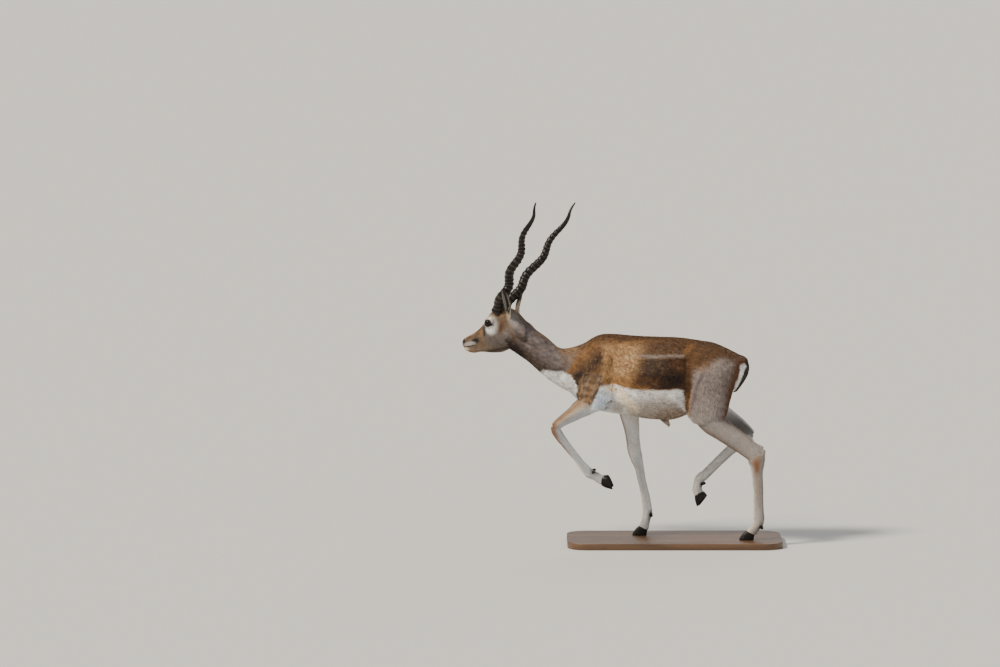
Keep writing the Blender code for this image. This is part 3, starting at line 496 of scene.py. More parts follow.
def bell(value, middle, width):
    # 1 at the middle, fading out at the width
    return np.exp(-(((value - middle) / width) ** 2))


def unit(rows):
    return rows / np.maximum(rowLengths(rows), 1e-6)[:, None]


def sideSpots(points):
    # x and the height above the hooves
    return points[:, [0, 2]] - (0.0, groundLevel)


def oneSide(local):
    # both sides of the head laid over each other
    return local * (1.0, 0.0, 1.0) + np.abs(local) * (0.0, 1.0, 0.0)


def makeBall(name, segments, rings, radius=1.0):
    bpy.ops.object.select_all(action="DESELECT")
    bpy.ops.mesh.primitive_uv_sphere_add(segments=segments, ring_count=rings, radius=radius)
    thing = bpy.context.active_object
    thing.name = name
    return thing


def lump(name, middle, radii, tilt=0.0):
    # a smooth swelling of the head such as a cheek or a lid, to be fused into the skin
    thing = makeBall(name, 32, 20)
    size = Matrix.Diagonal(radii).to_4x4()
    turn = Matrix.Rotation(math.radians(tilt), 4, "Y")
    thing.data.transform(headFrame @ Matrix.Translation(middle) @ turn @ size)
    outward(thing)
    return thing


def joinAll(name, things):
    bpy.ops.object.select_all(action="DESELECT")
    for thing in things:
        thing.select_set(True)
    bpy.context.view_layer.objects.active = things[0]
    bpy.ops.object.join()
    joined = bpy.context.active_object
    joined.name = name
    return joined


def mirrored(place, side):
    return Vector((place[0], place[1] * side, place[2]))


# the left ear faces forward and out, the right one is turned back
ears = {
    "places": {
        -1: ((0.015, 0.034, 0.03), (-0.004, 0.144, 0.157), (0.5, 0.74, -0.45)),
        1: ((0.01, 0.036, 0.028), (0.024, 0.134, 0.142), (-0.85, 0.45, -0.25)),
    },
    "halfWidth": 0.0212,
    "wall": 0.003,
    "hollowStart": 0.18,
    "hollowRise": 0.12,
    "widths": [(0.0, 0.46), (0.14, 0.56), (0.3, 0.84), (0.5, 1.0), (0.72, 0.86), (0.9, 0.46), (1.0, 0.1)],
}


def earAxes(side):
    foot, tip, facing = (mirrored(place, side) for place in ears["places"][side])
    along = (tip - foot).normalized()
    facing = (facing - along * facing.dot(along)).normalized()
    return foot, tip, along, facing, along.cross(facing)


def earDepth(half, part):
    # the cup is shallower towards its tip
    return half * (0.95 - 0.45 * part)


def earRings(side, steps=20):
    foot, tip, _, facing, across = earAxes(side)
    rings = []
    for part, share in smoothRows(ears["widths"], 6):
        half = ears["halfWidth"] * share
        depth = earDepth(half, part)
        wall = min(ears["wall"], 0.45 * half)
        hollow = min(1.0, max(0.0, (part - ears["hollowStart"]) / ears["hollowRise"]))
        scoop = hollow * (depth - wall) - (1.0 - hollow) * 0.5 * depth
        middle = foot + (tip - foot) * part
        ring = []
        for step in range(steps):
            turn = math.pi * (step / (steps - 1) - 0.5)
            ring.append(middle + across * (half * math.sin(turn)) - facing * (depth * math.cos(turn)))
        for step in range(1, steps - 1):
            turn = math.pi * (0.5 - step / (steps - 1))
            inner = across * ((half - wall) * math.sin(turn))
            ring.append(middle + inner - facing * (scoop * math.cos(turn)))
        rings.append([headFrame @ spot for spot in ring])
    return rings


# the skin lies inside the CAD solids by the coat's depth
skinMake = {
    "coatDepth": 0.0016,
    "legDepth": 0.0006,
    "voxel": 0.0019,
    "smoothing": 4,
    "softening": 45,
    "softeningSteps": (0.62, -0.6),
    "slimHeights": (0.4, 0.5),
    "slimShare": 0.55,
    "joinRounds": 100,
    "joinShare": 0.5,
    "bodyTriangles": 84000,
    "headTriangles": 24000,
}
eyeMake = {
    "place": (0.097, 0.038, 0.007),
    "radius": 0.0165,
    "lid": 0.0024,
    "opening": (0.015, 0.012),
    "tilt": -20.0,
    "ahead": 0.16,
    "rising": 0.06,
    "reach": 0.032,
    "near": 0.026,
    "hidden": 0.003,
    "rim": (0.001, 0.0009),
    "fold": (0.0011, 1.62, 0.1),
    "cornerMark": ((0.018, -0.001), (0.006, 0.0024), 0.4),
}


headLumps = [
    ("orbit", (0.093, 0.029, 0.01), (0.025, 0.0215, 0.0245), 0.0),
    ("cheek", (0.036, 0.03, -0.043), (0.046, 0.0175, 0.034), 0.0),
    ("cheekbone", (0.082, 0.027, -0.024), (0.04, 0.015, 0.012), 12.0),
]


def makeRawSkin():
    body = -skinMake["coatDepth"]
    legs = -skinMake["legDepth"]
    lid = eyeMake["radius"] + eyeMake["lid"]
    things = [loft("trunk", trunkRings(body), "trunk"), loft("neck", limbRings(neckRows, body), "neck")]
    for name, rows in legRows.items():
        inset = body if name.startswith(("thigh", "shoulder")) else legs
        things.append(loft(name, limbRings(rows, inset), name))
    things.append(loft("head", headRings(legs), "head"))
    things.append(loft("tail", limbRings(tailRows, body), "tail"))
    things.append(loft("sheath", limbRings(sheathRows, body), "sheath"))
    for side, word in ((-1, "Left"), (1, "Right")):
        things.append(loft("ear" + word, earRings(side), "ear" + word))
        things.append(lump("lid", mirrored(eyeMake["place"], side), (lid, lid, lid)))
        for name, place, radii, tilt in headLumps:
            things.append(lump(name, mirrored(place, side), radii, tilt))
    return joinAll("skin", things)


def fuseSkin(thing):
    remesh = thing.modifiers.new("fuse", "REMESH")
    remesh.mode = "VOXEL"
    remesh.voxel_size = skinMake["voxel"]
    soften = thing.modifiers.new("soften", "SMOOTH")
    soften.factor = 0.5
    soften.iterations = skinMake["smoothing"]
    applyModifiers(thing)
    keepLargest(thing)
    # the body is softened further than the face, where the forms run into each other
    points = readPoints(thing.data)
    local = headLocal(points)
    ahead, up = local[:, 0], local[:, 2]
    face = smoothStep(ahead, -0.012, 0.02) * smoothStep(up, -0.13, -0.1)
    face = np.maximum(face, smoothStep(up, 0.045, 0.06) * smoothStep(ahead, -0.06, -0.04))
    slim = fade(points[:, 2] - groundLevel, *skinMake["slimHeights"])
    amount = (1.0 - face) * (1.0 - skinMake["slimShare"] * slim)
    edges = edgePairs(thing.data)
    for _ in range(skinMake["softening"]):
        for step in skinMake["softeningSteps"]:
            points = points + (neighbourMean(edges, points) - points) * (step * amount)[:, None]
    writePoints(thing.data, easeJoins(points, edges))
    return thing


# joins that are eased further: side view line, how wide, and rounds of softening
joins = [
    ([(-0.27, 0.775), (-0.325, 0.73), (-0.35, 0.67), (-0.372, 0.605), (-0.38, 0.56)], 0.034, 1.0),
    ([(-0.215, 0.7), (-0.225, 0.62), (-0.255, 0.555)], 0.026, 1.0),
    ([(0.085, 0.74), (0.055, 0.68), (0.035, 0.6), (0.04, 0.53)], 0.03, 1.0),
    ([(0.235, 0.7), (0.225, 0.62), (0.205, 0.54)], 0.022, 0.8),
    ([(0.18, 0.745), (0.12, 0.745)], 0.03, 0.8),
]


def easeJoins(points, edges):
    local = headLocal(points)
    sideView = sideSpots(points)
    amount = bell(local[:, 0], -0.036, 0.024) * (local[:, 2] > -0.12) * (local[:, 0] > -0.09)
    for line, width, share in joins:
        amount = np.maximum(amount, share * bell(lineDistance(sideView, line), 0.0, width))
    amount *= skinMake["joinShare"]
    for _ in range(skinMake["joinRounds"]):
        points = points + (neighbourMean(edges, points) - points) * amount[:, None]
    return points


def lineDistance(points, line):
    line = np.array(line, float)
    nearest = np.full(len(points), np.inf)
    for start, stop in zip(line[:-1], line[1:]):
        along = stop - start
        part = np.clip((points - start) @ along / (along @ along), 0.0, 1.0)
        away = rowLengths(points - start - part[:, None] * along)
        nearest = np.minimum(nearest, away)
    return nearest


def keepLargest(thing):
    mesh = thing.data
    edges = edgePairs(mesh)
    label = np.arange(len(mesh.vertices))
    while True:
        lowest = np.minimum(label[edges[:, 0]], label[edges[:, 1]])
        new = label.copy()
        np.minimum.at(new, edges[:, 0], lowest)
        np.minimum.at(new, edges[:, 1], lowest)
        new = new[new]
        if (new == label).all():
            break
        label = new
    values, counts = np.unique(label, return_counts=True)
    if len(values) == 1:
        return
    lost = label != values[counts.argmax()]
    body = bmesh.new()
    body.from_mesh(mesh)
    body.verts.ensure_lookup_table()
    bmesh.ops.delete(body, geom=[body.verts[index] for index in np.flatnonzero(lost)], context="VERTS")
    body.to_mesh(mesh)
    body.free()


# lines on the head, ahead and up from its pivot; a rim is its rise, how far out it lies, and its width
headCarve = {
    "mouth": [(0.226, -0.091), (0.205, -0.0935), (0.186, -0.09), (0.168, -0.084)],
    "mouthDepth": 0.0024,
    "mouthWidth": 0.0017,
    "mouthRim": (0.0008, 3.0, 1.6),
    "nostril": [(0.215, 0.0085, -0.08), (0.217, 0.014, -0.074), (0.211, 0.0175, -0.069)],
    "nostrilDepth": 0.0045,
    "nostrilWidth": 0.0021,
    "nostrilRim": (0.0011, 0.0048, 0.0016),
    "gland": [(0.121, -0.013), (0.118, -0.027), (0.118, -0.04)],
    "glandDepth": 0.003,
    "glandWidth": 0.002,
    "glandRim": (0.0012, 0.0058, 0.0022),
    "grooveDepth": 0.0012,
    "grooveWidth": 0.0012,
}


def refineNear(thing, wanted):
    # splits the edges whose both ends are wanted
    body = bmesh.new()
    body.from_mesh(thing.data)
    body.verts.ensure_lookup_table()
    edges = [edge for edge in body.edges if wanted[edge.verts[0].index] and wanted[edge.verts[1].index]]
    bmesh.ops.subdivide_edges(body, edges=edges, cuts=1, use_grid_fill=True, smooth=0.0)
    bmesh.ops.triangulate(body, faces=body.faces)
    body.to_mesh(thing.data)
    body.free()


def thinOut(thing, chosen, wanted):
    # only the chosen points give up faces, down to the wanted number
    mesh = thing.data
    corners = np.empty(len(mesh.loops), np.int32)
    mesh.loops.foreach_get("vertex_index", corners)
    start = np.empty(len(mesh.polygons), np.int32)
    mesh.polygons.foreach_get("loop_start", start)
    triangles = np.diff(np.append(start, len(corners))) - 2
    inside = np.add.reduceat(chosen[corners].astype(int), start) > 1
    total, own = triangles.sum(), triangles[inside].sum()
    if own <= wanted:
        return
    group = thing.vertex_groups.new(name="thin")
    group.add(np.flatnonzero(chosen).tolist(), 1.0, "REPLACE")
    modifier = thing.modifiers.new("thin", "DECIMATE")
    modifier.ratio = (total - own + wanted) / total
    modifier.use_collapse_triangulate = True
    modifier.vertex_group = "thin"
    modifier.vertex_group_factor = 1.0
    applyModifiers(thing)
    thing.vertex_groups.clear()


def eyeSpot(local, side):
    return local - np.array(mirrored(eyeMake["place"], side))


def eyeDistance(local):
    return np.minimum(rowLengths(eyeSpot(local, -1)), rowLengths(eyeSpot(local, 1)))


def lipDistance(local):
    # how far from the mouth's line, the nostrils and the slits below the eyes
    sideView = local[:, [0, 2]]
    nostril = lineDistance(oneSide(local), headCarve["nostril"])
    away = np.minimum(nostril, lineDistance(sideView, headCarve["mouth"]))
    return np.minimum(away, lineDistance(sideView, headCarve["gland"]) + 0.002)


def eyeAxes(side):
    # along the slit of the lids, up, and outwards
    tilt = math.radians(eyeMake["tilt"])
    along = np.array((math.cos(tilt), 0.0, -math.sin(tilt)))
    outwards = np.array((eyeMake["ahead"], float(side), eyeMake["rising"]))
    outwards /= np.linalg.norm(outwards)
    along -= outwards * (along @ outwards)
    along /= np.linalg.norm(along)
    up = np.cross(outwards, along) * -side
    return along, up * (1.0 if up[2] > 0 else -1.0), outwards


def almond(local, side):
    # under 1 inside the opening of the lids, and how far out of the face
    spot = eyeSpot(local, side)
    along, up, outwards = eyeAxes(side)
    reach, rise, out = spot @ along, spot @ up, spot @ outwards
    wide, high = eyeMake["opening"]
    high = high * (1.0 - 0.3 * np.clip(np.abs(reach) / wide, 0.0, 1.0) ** 3)
    return np.sqrt((reach / wide) ** 2 + (rise / high) ** 2), out, reach, rise


def carveEyes(points):
    local = headLocal(points)
    radius = eyeMake["radius"]
    rimLow, rimRise = eyeMake["rim"]
    foldDepth, foldAt, foldWidth = eyeMake["fold"]
    for side in (-1, 1):
        ratio, out, _, rise = almond(local, side)
        spot = eyeSpot(local, side)
        away = rowLengths(spot)
        near = (away < eyeMake["reach"]) & (out > 0.0)
        rim = radius + rimLow + rimRise * smoothStep(ratio, 1.0, 1.25)
        inside = ratio < 1.0
        lid = np.maximum(rim, np.minimum(away, radius + eyeMake["lid"]))
        goal = np.where(inside, radius - eyeMake["hidden"], lid)
        # a fold runs round above the upper lid
        goal -= foldDepth * bell(ratio, foldAt, foldWidth) * smoothStep(rise, -0.004, 0.004)
        amount = np.where(inside, 1.0, fade(ratio, 1.5, 2.0)) * near
        moved = local + unit(spot) * ((goal - away) * amount)[:, None]
        local = np.where(near[:, None], moved, local)
    return local @ headArray[:3, :3].T + headArray[:3, 3]


def carveFace(thing):
    points = readPoints(thing.data)
    local = headLocal(points)
    sideView = local[:, [0, 2]]
    away = lineDistance(sideView, headCarve["mouth"])
    width = headCarve["mouthWidth"]
    rise, out, wide = headCarve["mouthRim"]
    push = -headCarve["mouthDepth"] * bell(away, 0.0, width) + rise * bell(away, out * width, wide * width)
    beside = smoothStep(np.abs(local[:, 1]), 0.012, 0.02)
    for name, place, amount in (("nostril", oneSide(local), 1.0), ("gland", sideView, beside)):
        away = lineDistance(place, headCarve[name])
        rise, out, wide = headCarve[name + "Rim"]
        push -= headCarve[name + "Depth"] * bell(away, 0.0, headCarve[name + "Width"]) * amount
        push += rise * bell(away, out, wide) * amount
    # the groove between the nostrils
    groove = bell(local[:, 1], 0.0, headCarve["grooveWidth"]) * smoothStep(local[:, 0], 0.212, 0.218)
    push -= headCarve["grooveDepth"] * groove * (local[:, 2] < -0.07)
    writePoints(thing.data, points + readNormals(thing.data) * push[:, None])


# grooves and ridges pressed into both sides of the body: side view line, push, width, which side
bodyCarve = [
    ([(0.334, 0.29), (0.332, 0.2), (0.335, 0.11)], -0.0012, 0.0035, 0),
    ([(0.3, 0.395), (0.27, 0.42)], -0.004, 0.007, -1),
    ([(-0.43, 0.4), (-0.38, 0.335), (-0.35, 0.295)], -0.0009, 0.0028, -1),
    ([(-0.124, 0.26), (-0.108, 0.19), (-0.096, 0.13)], -0.0009, 0.0028, 1),
    ([(0.24, 0.328), (0.18, 0.283), (0.14, 0.252)], -0.001, 0.0032, 1),
    ([(-0.385, 0.745), (-0.425, 0.69), (-0.445, 0.64)], -0.005, 0.014, 0),
    ([(-0.235, 0.7), (-0.215, 0.63), (-0.235, 0.56)], -0.0045, 0.02, 0),
    ([(0.05, 0.7), (0.062, 0.62), (0.04, 0.535)], -0.0045, 0.018, 0),
    ([(0.115, 0.625), (0.085, 0.565), (0.06, 0.515)], 0.003, 0.016, 0),
    ([(0.205, 0.66), (0.19, 0.58), (0.17, 0.5)], -0.0035, 0.014, 0),
    ([(-0.52, 0.735), (-0.62, 0.79)], -0.0022, 0.01, 0),
]


def carveBody(thing):
    points = readPoints(thing.data)
    normals = readNormals(thing.data)
    sideView = sideSpots(points)
    push = np.zeros(len(points))
    for line, depth, width, side in bodyCarve:
        facing = np.abs(normals[:, 1]) if side == 0 else (side * points[:, 1] > 0) * np.abs(normals[:, 1])
        push += depth * bell(lineDistance(sideView, line), 0.0, width) * facing
    writePoints(thing.data, points + normals * push[:, None])


# the head starts ahead of and above these limits; how near the eyes and lips the skin is kept or made finer
fineSkin = {
    "bodyLimit": (-0.08, -0.14),
    "headLimit": (-0.07, -0.13),
    "keptRound": 0.034,
    "keptAhead": 0.165,
    "keptAbove": 0.068,
    "eyes": 0.0235,
    "lips": 0.0065,
    "lids": 0.0225,
    "lidRatios": (0.7, 1.45),
}


def makeSkin():
    thing = fuseSkin(makeRawSkin())
    report("skin fused, %d faces" % len(thing.data.polygons))
    carveBody(thing)
    local = headLocal(readPoints(thing.data))
    head = (local[:, [0, 2]] > fineSkin["bodyLimit"]).all(axis=1)
    thinOut(thing, ~head, skinMake["bodyTriangles"])
    local = headLocal(readPoints(thing.data))
    head = (local[:, [0, 2]] > fineSkin["headLimit"]).all(axis=1)
    fine = (local[:, 0] > fineSkin["keptAhead"]) | (local[:, 2] > fineSkin["keptAbove"])
    fine |= eyeDistance(local) < fineSkin["keptRound"]
    thinOut(thing, head & ~fine, skinMake["headTriangles"])
    report("skin thinned, %d faces" % len(thing.data.polygons))
    local = headLocal(readPoints(thing.data))
    refineNear(thing, (eyeDistance(local) < fineSkin["eyes"]) | (lipDistance(local) < fineSkin["lips"]))
    local = headLocal(readPoints(thing.data))
    ratio = np.minimum(almond(local, -1)[0], almond(local, 1)[0])
    low, high = fineSkin["lidRatios"]
    refineNear(thing, (eyeDistance(local) < fineSkin["lids"]) & (ratio > low) & (ratio < high))
    carveFace(thing)
    writePoints(thing.data, carveEyes(readPoints(thing.data)))
    smoothShade(thing)
    report("skin carved, %d faces" % len(thing.data.polygons))
    return thing


# the unwrap: each form's rings laid flat, side by side on shelves
unwrap = {"scale": 0.5, "gap": 0.006, "shrink": 0.96}


def makeUnwrap():
    sizes = {}
    for name, rings in forms.items():
        middle = rings.mean(axis=1)
        length = rowLengths(np.diff(middle, axis=0)).sum()
        girth = np.linalg.norm(np.roll(rings, -1, axis=1) - rings, axis=2).sum(axis=1).mean()
        sizes[name] = (length, girth)
    order = sorted(sizes, key=lambda name: -sizes[name][1])
    scale = unwrap["scale"]
    while True:
        places = {}
        left, low, shelf = 0.0, 0.0, 0.0
        for name in order:
            wide, high = sizes[name][0] * scale, sizes[name][1] * scale
            if left + wide > 1.0:
                left, low, shelf = 0.0, low + shelf + unwrap["gap"], 0.0
            places[name] = (left, low, wide, high)
            left += wide + unwrap["gap"]
            shelf = max(shelf, high)
        if low + shelf <= 1.0:
            return places
        scale *= unwrap["shrink"]


def readLie(points):
    # for each point: its form, place on the unwrap, and the way its hair lies
    names = list(forms)
    places = makeUnwrap()
    total = sum(rings.shape[0] * rings.shape[1] for rings in forms.values())
    tree = kdtree.KDTree(total)
    data = np.empty((total, 7))
    number = 0
    for index, name in enumerate(names):
        rings = forms[name]
        levels, count = rings.shape[:2]
        middle = rings.mean(axis=1)
        along = np.gradient(middle, axis=0)
        along /= np.maximum(rowLengths(along), 1e-9)[:, None]
        left, low, wide, high = places[name]
        sign = -1.0 if name == "neck" else 1.0
        for level in range(levels):
            for step in range(count):
                tree.insert(rings[level, step], number)
                data[number] = (
                    index,
                    left + wide * level / (levels - 1),
                    low + high * (step + 0.5) / count,
                    *(along[level] * sign),
                    level / (levels - 1),
                )
                number += 1
    tree.balance()
    found = np.array([tree.find(point)[1] for point in points.tolist()])
    return names, data[found]


def smoothOver(mesh, values, rounds):
    edges = edgePairs(mesh)
    for _ in range(rounds):
        values = 0.3 * values + 0.7 * neighbourMean(edges, values)
    return values


coatColours = {
    "back": (0.14, 0.068, 0.026),
    "spine": (0.085, 0.04, 0.016),
    "orange": (0.27, 0.13, 0.042),
    "tan": (0.36, 0.2, 0.085),
    "shoulder": (0.27, 0.18, 0.11),
    "sand": (0.6, 0.43, 0.25),
    "greyBrown": (0.09, 0.06, 0.04),
    "black": (0.007, 0.003, 0.002),
    "purple": (0.08, 0.066, 0.07),
    "rump": (0.095, 0.045, 0.017),
    "stripe": (0.26, 0.225, 0.205),
    "saddle": (0.02, 0.006, 0.002),
    "dusk": (0.026, 0.012, 0.006),
    "thigh": (0.215, 0.17, 0.148),
    "thighPale": (0.27, 0.225, 0.205),
    "thighEdge": (0.095, 0.034, 0.009),
    "thighFront": (0.1, 0.045, 0.018),
    "gaskin": (0.36, 0.315, 0.285),
    "neck": (0.215, 0.172, 0.154),
    "neckBlue": (0.082, 0.072, 0.078),
    "neckTop": (0.21, 0.12, 0.055),
    "neckLow": (0.045, 0.026, 0.016),
    "throat": (0.014, 0.006, 0.004),
    "white": (0.8, 0.78, 0.75),
    # painted shade: white coat as it looks in shadow, tinted blue
    "blueWhite": (0.6, 0.68, 0.76),
    "cream": (0.9, 0.76, 0.56),
    "fawn": (0.26, 0.185, 0.13),
    "bellyGrey": (0.4, 0.34, 0.29),
    "leg": (0.47, 0.44, 0.405),
    "legWhite": (0.72, 0.7, 0.67),
    "legGrey": (0.24, 0.23, 0.23),
    "legBrown": (0.21, 0.07, 0.01),
    "face": (0.21, 0.145, 0.092),
    "cheek": (0.175, 0.145, 0.122),
    "crown": (0.17, 0.11, 0.06),
    "bridge": (0.32, 0.17, 0.075),
    "muzzle": (0.016, 0.013, 0.015),
    "noseSkin": (0.01, 0.008, 0.008),
    "lidSkin": (0.008, 0.006, 0.005),
    "ringGrey": (0.42, 0.395, 0.365),
    "earBack": (0.17, 0.13, 0.095),
    "earInside": (0.026, 0.017, 0.012),
    "tailTop": (0.03, 0.016, 0.01),
}


def bareCoat(points, name):
    # the colour that everything else is laid over
    return np.tile(np.array(coatColours[name]), (len(points), 1))


def blendTo(colour, paint, amount):
    colour += (np.array(paint) - colour) * amount[:, None]


def lay(colour, name, amount):
    blendTo(colour, coatColours[name], np.clip(amount, 0.0, 1.0))


def lined(across, rise, line, width):
    # 1 along a line, fading out at its width
    return bell(lineDistance(np.stack([across, rise], 1), line), 0.0, width)


def oval(across, rise, middle, radii, soft=0.35, tilt=0.0):
    turn = math.radians(tilt)
    right, up = across - middle[0], rise - middle[1]
    along = (right * math.cos(turn) + up * math.sin(turn)) / radii[0]
    over = (up * math.cos(turn) - right * math.sin(turn)) / radii[1]
    return fade(np.sqrt(along**2 + over**2), 1.0 - soft, 1.0 + soft)


def edgeAt(value, table):
    # where an edge runs at each height or place, from a short table of both
    return np.interp(value, [row[0] for row in table], [row[1] for row in table])


def ripple(points, size, seed, waves=6):
    # a soft wander for the edges of the markings
    value = np.zeros(len(points))
    draw = np.random.default_rng(seed)
    for _ in range(waves):
        way = draw.normal(size=3)
        way /= np.linalg.norm(way)
        value += np.sin(points @ way / size * draw.uniform(0.6, 1.6) + draw.uniform(0, 6.28))
    return value / waves


def streaked(points, size, seed, stretch=(1.0, 1.0, 1.0)):
    # a rough 0 to 1 pattern, drawn out where the stretch is under 1
    return np.clip(0.5 + 0.85 * ripple(points * stretch, size, seed), 0.0, 1.0)


mottling = {"values": 4096, "steps": (73856093, 19349663, 83492791), "contrast": 1.5}


def mottled(points, size, seed, stretch=(1.0, 1.0, 1.0)):
    # 0 to 1 spots with no rows in them: each small cell draws its own value, blended between cells
    values = np.random.default_rng(seed).random(mottling["values"])
    turn = np.linalg.qr(np.random.default_rng(seed + 1).normal(size=(3, 3)))[0]
    turned = points * stretch @ turn / size
    cell = np.floor(turned).astype(np.int64)
    within = turned - cell
    within = within * within * (3.0 - 2.0 * within)
    value = np.zeros(len(points))
    for corner in np.ndindex(2, 2, 2):
        share = np.prod(np.where(corner, within, 1.0 - within), axis=1)
        key = np.bitwise_xor.reduce((cell + corner) * np.array(mottling["steps"]), axis=1)
        value += share * values[key % mottling["values"]]
    return np.clip(0.5 + mottling["contrast"] * (value - 0.5), 0.0, 1.0)


def shareOf(at, factor):
    # a field by its name, a line, a patch, a base with some of a field, or a field between two values:
    # it rises from the first to the second, and falls where the first is the larger
    if isinstance(factor, str):
        return getattr(at, factor)
    kind, *values = factor
    if kind == "line":
        return lined(at.x, at.z, *values)
    if kind == "patch":
        return oval(at.x, at.z, *values)
    if kind == "some":
        field, base, gain = values
        return base + gain * getattr(at, field)
    return smoothStep(getattr(at, kind), *values)


def layAll(colour, at, layers):
    for name, amount, *factors in layers:
        share = np.full(len(colour), float(amount))
        for factor in factors:
            share = share * shareOf(at, factor)
        lay(colour, name, share)


# the body's colours from the lowest to the topmost: how much, and where in the side view
bodyLayers = [
    ("orange", 0.6, "fleck", "coarse"),
    ("spine", 0.85, ("up", 0.6, 0.95)),
    ("orange", 0.5, "flank", ("line", [(-0.24, 0.77), (-0.16, 0.777), (-0.06, 0.776)], 0.006)),
    # tan between shoulder and saddle, orange below, with dark and pale curls
    ("tan", 0.95, "fore"),
    ("orange", 0.7, "fore", ("z", 0.665, 0.625)),
    ("rump", 0.45, "fore", ("curl", 0.5, 0.1)),
    ("sand", 0.5, "side", "pale", ("curl", 0.5, 0.95)),
    # greyish dark hair above the pale stripe
    ("dusk", 1, "above", ("some", "fleck", 0.25, 0.45)),
    ("stripe", 0.25, "above", ("curl", 0.6, 0.95)),
    # the saddle: grey-brown in front and above, near black behind and below
    ("saddle", 1, "saddle", ("some", "fleck", 0.86, 0.14)),
    ("greyBrown", 1, "saddle", ("patch", (-0.1, 0.69), (0.055, 0.032), 0.6), ("some", "curl", 0.3, 0.5)),
    ("thighFront", 1, "saddle", "warm", ("some", "coarse", 0.35, 0.45)),
    ("orange", 0.14, "saddle", ("curl", 0.6, 0.95)),
    ("black", 0.7, "saddle", ("patch", (-0.02, 0.632), (0.04, 0.028), 0.7)),
    ("orange", 1, "side", "hem", ("some", "fleck", 0.55, 0.35)),
    ("stripe", 1, "side", "paleLine", ("x", -0.175, -0.125), ("some", "coarse", 0.55, 0.4)),
    # shoulder: a dark slanting patch behind a golden edge, mottled tan below it
    ("orange", 0.5, "flank", ("line", [(-0.425, 0.665), (-0.39, 0.715), (-0.325, 0.765)], 0.018)),
    ("shoulder", 0.85, "below"),
    ("greyBrown", 0.75, "below", ("coarse", 0.66, 0.31)),
    ("orange", 0.5, "flank", ("line", [(-0.318, 0.645), (-0.335, 0.6), (-0.348, 0.535)], 0.009)),
    ("dusk", 1, "dusky", ("some", "fleck", 0.72, 0.26)),
    ("tan", 0.35, "dusky", ("curl", 0.72, 0.98)),
    ("black", 0.55, "flank", ("patch", (-0.372, 0.65), (0.03, 0.015), 0.8, 35)),
    ("throat", 0.75, ("line", [(-0.428, 0.672), (-0.404, 0.722), (-0.362, 0.764)], 0.0042)),
    # hindquarter: brown above, grey-tan below, a painted shadow along a slant, a dark rear edge and white
    # beyond it
    ("rump", 1, ("x", 0.05, 0.1), ("z", 0.68, 0.712), ("some", "coarse", 0.65, 0.25)),
    ("greyBrown", 0.55, ("x", 0.03, 0.09), ("z", 0.66, 0.7), ("curl", 0.35, 0.8)),
    ("orange", 0.5, "flank", ("line", [(0.06, 0.77), (0.04, 0.755), (0.03, 0.735)], 0.008)),
    ("thigh", 0.96, "thigh"),
    # painted highlight: a pale patch high on the thigh
    ("thighPale", 0.7, ("patch", (0.172, 0.69), (0.034, 0.028), 0.6, -8)),
    ("thighPale", 0.55, "thigh", ("patch", (0.14, 0.56), (0.055, 0.085), 0.7, 6)),
    # painted shadow: a dark slant down the thigh
    ("purple", 1, "thigh", "slant", ("some", "coarse", 0.6, 0.35)),
    ("thighFront", 0.8, "flank", ("line", [(0.05, 0.725), (0.042, 0.66), (0.034, 0.6)], 0.013)),
    ("black", 0.75, "flank", ("line", [(0.032, 0.715), (0.027, 0.64), (0.026, 0.575)], 0.0045)),
    ("gaskin", 0.7, "thigh", ("z", 0.585, 0.47), ("past", -0.03, -0.06)),
    ("thighEdge", 0.95, ("past", -0.046, -0.008), ("x", 0.12, 0.17), ("z", 0.73, 0.7)),
    ("white", 1, ("past", -0.003, 0.004), ("z", 0.694, 0.684)),
    # white below: chest, elbow, belly, and the fold in front of the thigh
    ("white", 1, "belly"),
    # the belly is greyed in the middle and low down, with a fawn patch under its rear: partly the belly's own
    # tan, partly painted shade on the underside
    ("bellyGrey", 0.4, "belly", ("x", -0.2, -0.14), ("x", -0.01, -0.06)),
    ("bellyGrey", 0.9, "belly", ("sunk", 0.572, 0.535), ("x", -0.215, -0.165)),
    ("fawn", 0.85, "belly", ("patch", (-0.01, 0.49), (0.09, 0.032), 0.7, 8)),
    ("white", 0.9, "flank", "fold", ("z", 0.6, 0.57)),
    # painted shade: the white of the elbow tinted blue as if in shadow
    ("blueWhite", 0.8, "belly", ("patch", (-0.295, 0.56), (0.045, 0.055), 0.5, 60)),
    # painted shadow: a grey patch just behind the elbow
    ("bellyGrey", 0.7, "belly", ("patch", (-0.235, 0.53), (0.028, 0.03), 0.6)),
    # painted sunlight: the cream band over the ribs, with tan curls along its top, is white coat made warmer
    # and brighter as if sunlit
    ("cream", 0.95, "belly", "ribs"),
    ("tan", 0.6, "ribEdge", ("curl", 0.62, 0.95), ("z", 0.57, 0.6)),
    # painted shadow: a dark line along the rear edge of the elbow
    ("thighEdge", 0.85, "flank", "notch"),
    ("white", 0.92, ("inward", 0.1, 0.45), ("z", 0.63, 0.59)),
    # white under the tail, and the dark root of the tail over it
    ("white", 1, ("aside", 0.052, 0.04), ("x", 0.19, 0.21), ("z", 0.696, 0.684)),
    ("tailTop", 1, ("tailward", -0.002, 0.003), ("z", 0.585, 0.6), ("z", 0.73, 0.712)),
]
